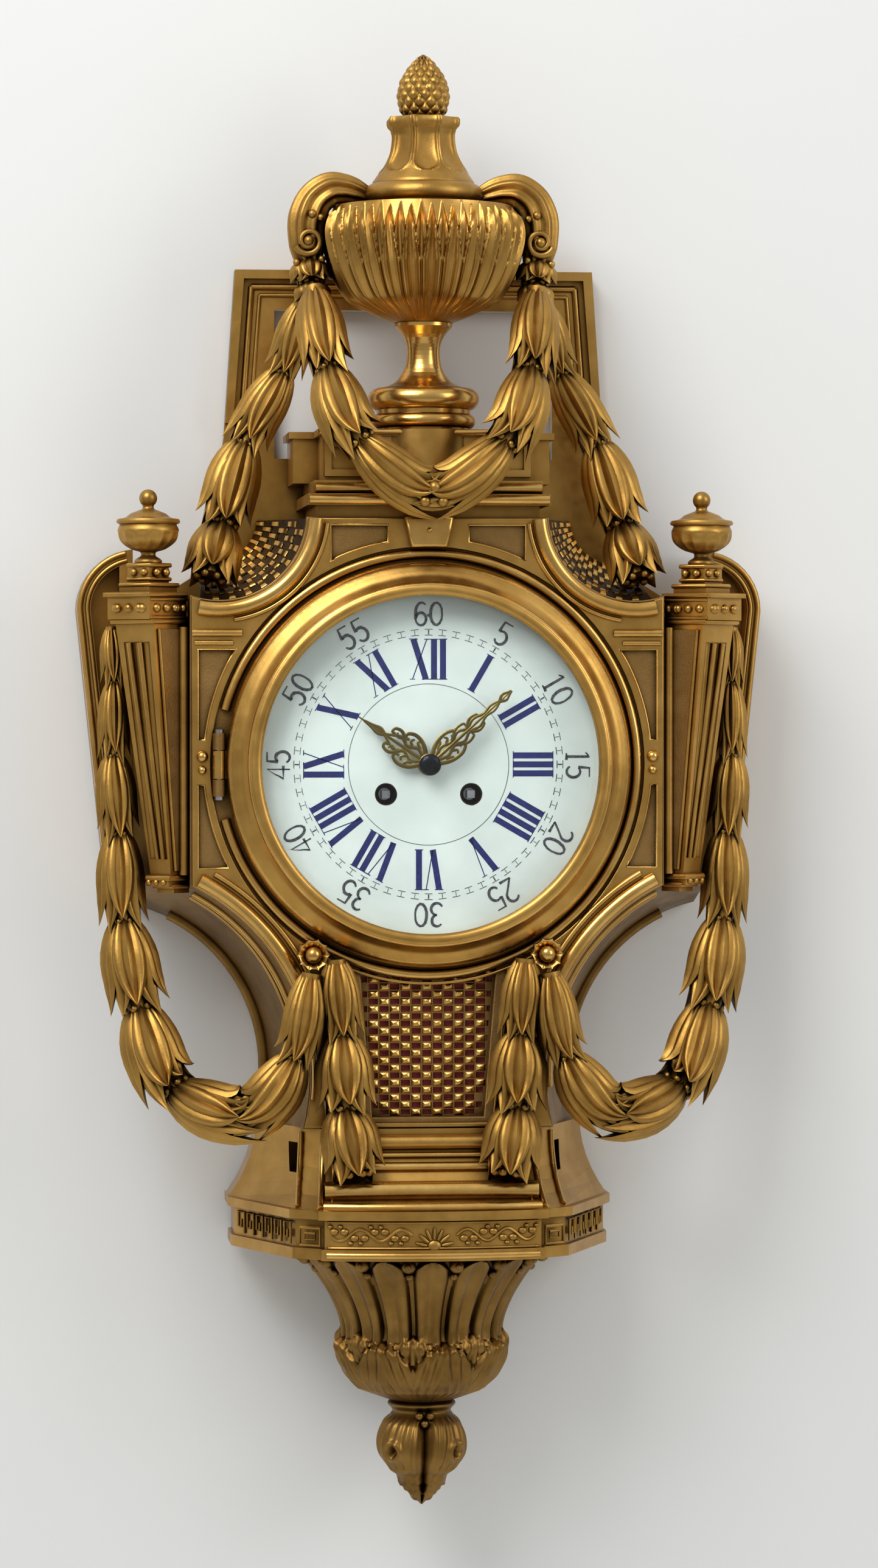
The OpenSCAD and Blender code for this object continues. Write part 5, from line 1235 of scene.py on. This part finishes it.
# %% [markdown]
# ## Niches and back frame
# A niche with a moulded rim lies outside each pilaster, and the tall back frame has a bead and a
# cove inside its lip. A curve object with a bevel could draw these lines, but rods from the same
# function keep every moulding of the case alike.

# %% Niche rims and back frame
NICHE_HEAD, NICHE_R, NICHE_FOOT, NICHE_DEPTH = (128, 69.3), 27, (143, -46), 44.1
rims = []
for inset, r in ((1.4, 1.3), (4.6, 1.1)):
    rim = [(NICHE_FOOT[0] - inset, NICHE_FOOT[1] + inset), *arc(NICHE_HEAD, NICHE_R - inset, 0, 78, 16)]
    rims.append(tube(at_depth(rim, NICHE_DEPTH), r, 10))
pair("niche_rim", join(rims), satin_gilt)
FRAME_HALF, FRAME_TOP, FRAME_SPLAY, PEDESTAL_TOP = 82, 225, 5, 149
frame_lines = []
for inset, r in ((7.6, 1.5), (11.4, 0.9)):
    half = FRAME_HALF - inset
    corners = [(-half - FRAME_SPLAY, PEDESTAL_TOP), (-half, FRAME_TOP - inset), (half, FRAME_TOP - inset),
               (half + FRAME_SPLAY, PEDESTAL_TOP)]
    points = at_depth(corners, FRAME_THICK + 0.2)
    frame_lines += [bar(a, b, r) for a, b in zip(points, points[1:])]
piece("frame_mouldings", join(frame_lines), satin_gilt)
print("mouldings:", len(rims), "round each niche,", len(frame_lines), "on the back frame")

# %% [markdown]
# ## Mouldings of waist and pedestal
# Below the grille burnished bars and fillets turn out over a cove to the frieze, and a broad
# torus lies at its foot. The edges of the pedestal's steps above the dial are burnished too.
# Bevels on the solids would round every edge alike, so rods are laid only where a moulding is.

# %% Mouldings
COVE_TOP, COVE_HIGH, COVE_HALF, COVE_FRONT = -162, 34, 47, 80
FRIEZE_BOW, FRIEZE_FRONT = 198, 108  # radius of the bowed front, and its depth in the middle


def cove(out, across, z):
    """A point over the waist's front corner: the cove runs out in depth towards the frieze."""
    s = (COVE_TOP - z) / COVE_HIGH
    return COVE_HALF + 3 * s**2 + across, COVE_FRONT + 24 * s**3 + out, z


def bowed(x, out, z):
    """A point in front of the frieze's bowed face."""
    return x, math.sqrt(FRIEZE_BOW**2 - x**2) - FRIEZE_BOW + FRIEZE_FRONT + out, z


def bowed_rod(half, out, z, thick, sides=10, steps=30):
    """A rod across the frieze's bowed face."""
    return tube([bowed(x, out, z) for x in np.linspace(-half, half, steps)], thick, sides)


mouldings = []
# Half length, depth, height and radius: three steps of the pedestal, then sill and torus of the waist
for half, depth, z, r in ((53.4, 86, 117.5, 2.2), (50.4, 82, 122.6, 2.4), (48.4, 78, 147.6, 1.4),
                          (31, 83, -179, 2.4), (31, 82.5, -173.5, 1.1), (47.5, 93.6, -188.6, 4.6)):
    mouldings.append(bar((-half, depth, z), (half, depth, z), r))
for out, across, r in ((0.4, 0, 1.5), (0.4, -5, 0.9), (-11.4, 9.2, 1.3)):
    edge_line = np.array([cove(out, across, z) for z in np.linspace(COVE_TOP - 2, COVE_TOP - 33, 14)])
    mouldings += [tube(edge_line, r, 10), tube(edge_line * [-1, 1, 1], r, 10)]
mouldings.append(bowed_rod(48, -1.5, -194.8, 2.5, 12))
mouldings.append(bowed_rod(48.5, 0.6, -198.2, 1.2))
mouldings.append(bowed_rod(47, 0.8, -215.6, 1.6))
piece("waist_mouldings", join(mouldings), burnished_gilt)
print("mouldings:", len(mouldings))

# %% [markdown]
# ## Relief of the frieze
# The bowed front carries a running stem with leaves and berries each side of a half sun, the
# corners have sunk blocks, and the canted ends a key pattern. All of it stands under 2 mm proud,
# so it is laid on the faces of the solid as small rods and seeds rather than carved into it.

# %% Relief of the frieze
STEM_UP, STEM_START, STEM_WAVE, SUN_FOOT = -206.6, 10, 18, -211.8
BAND_TOP, BAND_FOOT, BAND_HALF = -200.9, -212.4, 46


def seed(centre, half_sizes):
    """A small rounded leaf or berry."""
    points, faces = ball([0, 0, 0], 1, 10)
    return points * half_sizes + np.asarray(centre), faces


def stem_swing(x):
    """How the running stem swings up and down along the frieze, from -1 to 1."""
    return math.sin((x - STEM_START) * 2 * math.pi / STEM_WAVE)


relief = [bowed_rod(BAND_HALF, 0.3, z, 0.6, 6, 24) for z in (BAND_TOP, BAND_FOOT)]
for flip in (1, -1):
    stem = [bowed(flip * x, 0.3, STEM_UP + 2.6 * stem_swing(x)) for x in np.linspace(STEM_START, 45, 50)]
    relief.append(tube(stem, 0.7, 6))
    for k in range(8):
        x = STEM_START + 3 + 4.4 * k
        up = 1 if stem_swing(x) < 0 else -1
        relief.append(seed(bowed(flip * x, 0.4, STEM_UP + 1.4 * up), (2.0, 0.9, 1.5)))
        relief.append(seed(bowed(flip * (x + 1.8), 0.4, STEM_UP + 3.6 * up), (1.3, 0.8, 0.9)))
    relief += [seed(bowed(flip * BAND_HALF, 0.3, z), (0.8, 0.8, 0.8)) for z in (BAND_TOP, BAND_FOOT)]
SUN_RAYS = 7
for k in range(SUN_RAYS):
    a = math.pi * (k + 0.5) / SUN_RAYS
    ray = [bowed(r * math.cos(a), 0.5, SUN_FOOT + r * math.sin(a)) for r in (3.4, 5.5, 8.4)]
    relief.append(tube(ray, [0.5, 0.9, 0.6], 8))
relief.append(seed(bowed(0, 0.2, SUN_FOOT + 0.4), (3.2, 1.2, 2.8)))


def on_face(start, end, line, out):
    """(along, height) points laid on an upright face of the plinth that runs between two corners."""
    start, end = np.array(start, float), np.array(end, float)
    ahead = (end - start) / np.linalg.norm(end - start)
    away = np.array([-ahead[1], ahead[0]])
    return np.array([[*(start + ahead * a + away * out), z] for a, z in line])


# Faces of the plinth from edge to edge, as (across, depth)
CORNER_FACE, END_FACE = ((48, 102), (60, 94)), ((60, 94), (84, 36))
SUNK_WIDE, SUNK_TOP, SUNK_FOOT = 14.4, -201.6, -213.6
for flip in (1, -1):
    for inset, r in ((2.2, 0.7), (4.6, 0.5)):
        near, far, low, high = inset, SUNK_WIDE - inset, SUNK_FOOT + inset, SUNK_TOP - inset
        block = [(near, high), (far, high), (far, low), (near, low), (near, high), (far, high)]
        relief.append(tube(on_face(*CORNER_FACE, block, 0.3) * [flip, 1, 1], r, 6))
    for k in range(6):
        a = 5 + 9.4 * k
        key = [(a, -211.5), (a, -202), (a + 6, -202), (a + 6, -208.6), (a + 3, -208.6), (a + 3, -205.4)]
        relief.append(tube(on_face(*END_FACE, key, 0.2) * [flip, 1, 1], 0.7, 6))
piece("frieze_relief", join(relief), matt_gilt)
print("frieze:", len(relief), "relief parts")

# %% [markdown]
# ## Grille
# The apron is pierced like a chequerboard, and the metal between its holes is faceted, so that
# each field catches the light as a small gold square. A texture would stay flat under a moving
# light, so each is a low block with sloping sides.

# %% Squares of the grille
LATTICE_W, LATTICE_H, GRILLE_FRONT = 4.8, 3.3, 71.9
GRILLE_ROWS, GRILLE_HIGH, GRILLE_SPLAY, BEZEL_EDGE = 20, 63, 6, 97
squares = []
for k in range(GRILLE_ROWS):
    for i in range(-4, 5):
        x, z = (2 * i + 1 + k % 2) * LATTICE_W, GRILLE_FOOT + (k + 0.5) * LATTICE_H
        # The opening widens upwards and ends under the bezel
        half = GRILLE_HALF - 2 + GRILLE_SPLAY * (z - GRILLE_FOOT) / GRILLE_HIGH
        if abs(x) > half or math.hypot(x, z) < BEZEL_EDGE:
            continue
        corners = []
        for depth, wide, high in ((GRILLE_FRONT, 0.5, 0.5), (GRILLE_FRONT + 1.2, 0.175, 0.15)):
            w, h = wide * LATTICE_W, high * LATTICE_H
            corners += [(x - w, depth, z - h), (x + w, depth, z - h),
                        (x + w, depth, z + h), (x - w, depth, z + h)]
        squares.append((corners, BLOCK))
piece("grille_squares", join(squares), burnished_gilt)
print("grille squares:", len(squares))

# %% [markdown]
# ## Silk behind the grille
# Red silk is stretched behind the grille, so that the strike is heard but the works stay hidden.
# It is cut a little larger than the opening, and the pins along its edge pull faint ripples into
# it. A cloth simulation would settle to the same sheet, so a formula draws it, as one layer of
# faces without thickness.

# %% Silk
SILK_TOP_R, SILK_FOOT, SILK_HALF, SILK_NARROWS, SILK_DEPTH = 91.0, -160, 34, 6, 69.5
ROWS, COLUMNS = 41, 49
across, down = np.meshgrid(np.linspace(-1, 1, COLUMNS), np.linspace(0, 1, ROWS))
top = -np.sqrt(SILK_TOP_R**2 - (np.abs(across) * SILK_HALF) ** 2)
ripple = 0.22 * np.sin(across * 22) * (np.abs(across) ** 3 + np.abs(down - 0.5) ** 2 * 2)
cloth_points = np.dstack([across * (SILK_HALF - SILK_NARROWS * down), SILK_DEPTH + ripple,
                          top + (SILK_FOOT - top) * down]).reshape(-1, 3)
silk = piece("stretched_red_silk", (cloth_points, grid(ROWS, COLUMNS, False)), red_silk,
             stands_for=["grille_silk"])

# %% [markdown]
# ## Wall and floor
# The clock hangs on a pale plaster wall in a plain studio. Hiding the wall from behind would
# take its shadow away too, so the material does it: a viewer behind the wall looks through it,
# and to rays that set off within 30 mm of it the wall is not there, so that light from behind
# reaches the clock's back.

# %% Wall and floor
TROWEL_SWEEP, WALL_GAP, SEE_THROUGH = 1 / 3, 0.002, 0.03  # metres
STAGE_HALF, FLOOR_LEVEL, WALL_TOP = 3, -1.4, 2.2
pale_plaster, tree, plaster, place = blank("pale_plaster", Roughness=0.9, Specular_IOR_Level=0.1)
trowel = add(tree, "ShaderNodeTexNoise", {"Vector": place}, Scale=1 / TROWEL_SWEEP, Detail=3.0)
wash = add(tree, "ShaderNodeValToRGB", {"Fac": trowel.outputs["Fac"]}, ((0, "#DEDFDD"), (1, "#E6E6E4")))
feed(tree, plaster, {"Base Color": wash.outputs["Color"]})
close = add(tree, "ShaderNodeMath", {0: add(tree, "ShaderNodeLightPath").outputs["Ray Length"]},
            operation="LESS_THAN")
close.inputs[1].default_value = SEE_THROUGH
gone = add(tree, "ShaderNodeMath", {0: add(tree, "ShaderNodeNewGeometry").outputs["Backfacing"],
                                    1: close.outputs["Value"]}, operation="MAXIMUM")
one_sided = add(tree, "ShaderNodeMixShader", {
    0: gone.outputs["Value"], 1: plaster.outputs["BSDF"],
    2: add(tree, "ShaderNodeBsdfTransparent").outputs["BSDF"]})
feed(tree, tree.nodes["Material Output"], {"Surface": one_sided.outputs["Shader"]})


def sheet_of(name, corners):
    """A flat sheet of plaster from four corners in metres."""
    mesh = bpy.data.meshes.new(name)
    mesh.from_pydata(corners, [], [(0, 1, 2, 3)])
    mesh.materials.append(pale_plaster)
    made = bpy.data.objects.new(name, mesh)
    bpy.context.collection.objects.link(made)
    return made


EDGES = (-STAGE_HALF, STAGE_HALF)
foot_of_wall = [(x, WALL_GAP, FLOOR_LEVEL) for x in EDGES]
wall = sheet_of("wall", foot_of_wall + [(x, WALL_GAP, WALL_TOP) for x in EDGES[::-1]])
floor = sheet_of("floor", [(x, -STAGE_HALF, FLOOR_LEVEL) for x in EDGES] + foot_of_wall[::-1])
print("stage:", wall.name, floor.name)

# %% [markdown]
# ## Lights
# One large soft light stands at the upper left and a weaker one at the right. Gilding shows what
# it mirrors, so the room is brighter above than below. An image of a room could light it, but a
# gradient needs no image and is the same on every machine.

# %% Lights
LIT_SPOT = placed([0, 60, 0])[0]


def softbox(name, at, size, power):
    """An area light in metres and watts, turned to the middle of the clock."""
    lamp = bpy.data.lights.new(name, "AREA")
    lamp.shape, lamp.size, lamp.size_y, lamp.energy = "RECTANGLE", size[0], size[1], power
    made = bpy.data.objects.new(name, lamp)
    made.location = at
    beam = np.asarray(LIT_SPOT) - np.asarray(at)
    tilt = math.acos(-beam[2] / np.linalg.norm(beam))
    made.rotation_euler = (tilt, 0, math.atan2(beam[1], beam[0]) - math.pi / 2)
    bpy.context.collection.objects.link(made)


softbox("key", (-0.75, -1.15, 1.0), (0.9, 1.0), 22)
softbox("fill", (1.5, -1.2, 0.4), (0.8, 1.2), 10)
room = bpy.data.worlds.new("room")
bpy.context.scene.world = room
room.use_nodes = True
tree = room.node_tree
tree.nodes.clear()
sky = add(tree, "ShaderNodeSeparateXYZ", {0: add(tree, "ShaderNodeTexCoord").outputs["Generated"]})
fade = add(tree, "ShaderNodeMapRange", {"Value": sky.outputs["Z"]}, From_Min=-1.0, From_Max=1.0)
air = add(tree, "ShaderNodeValToRGB", {"Fac": fade.outputs["Result"]}, ((0, "#4B4945"), (1, "#E1E1E2")))
lit = add(tree, "ShaderNodeBackground", {"Color": air.outputs["Color"]})
add(tree, "ShaderNodeOutputWorld", {"Surface": lit.outputs["Background"]})

# %% [markdown]
# ## Camera
# The photograph was taken from a little left of the middle, about 2.2 m away and level with
# the dial. The lens could be guessed from a usual camera, but here it follows from the scale:
# 0.27 mm at the dial is one pixel of the photograph.

# %% Camera
AZIMUTH, ELEVATION, AWAY = math.radians(-5.5), math.radians(1.0), 2.2
PHOTO_WIDE, PIXEL, SENSOR = 1443, 0.00027, 36.0
aim = placed([4.2, 85, -8.6])[0]
lens = bpy.data.cameras.new("photograph")
lens.sensor_fit, lens.sensor_width = "HORIZONTAL", SENSOR
lens.lens = SENSOR * AWAY / (PHOTO_WIDE * PIXEL)
camera = bpy.data.objects.new("photograph", lens)
sight = np.array([math.sin(AZIMUTH) * math.cos(ELEVATION), -math.cos(AZIMUTH) * math.cos(ELEVATION),
                  math.sin(ELEVATION)])
camera.location = aim + AWAY * sight
camera.rotation_euler = (math.pi / 2 - ELEVATION, 0, AZIMUTH)
bpy.context.collection.objects.link(camera)
bpy.context.scene.camera = camera
bpy.context.scene.view_settings.view_transform = "Standard"
print("camera at", [round(float(v), 3) for v in camera.location], "lens", round(lens.lens, 1))
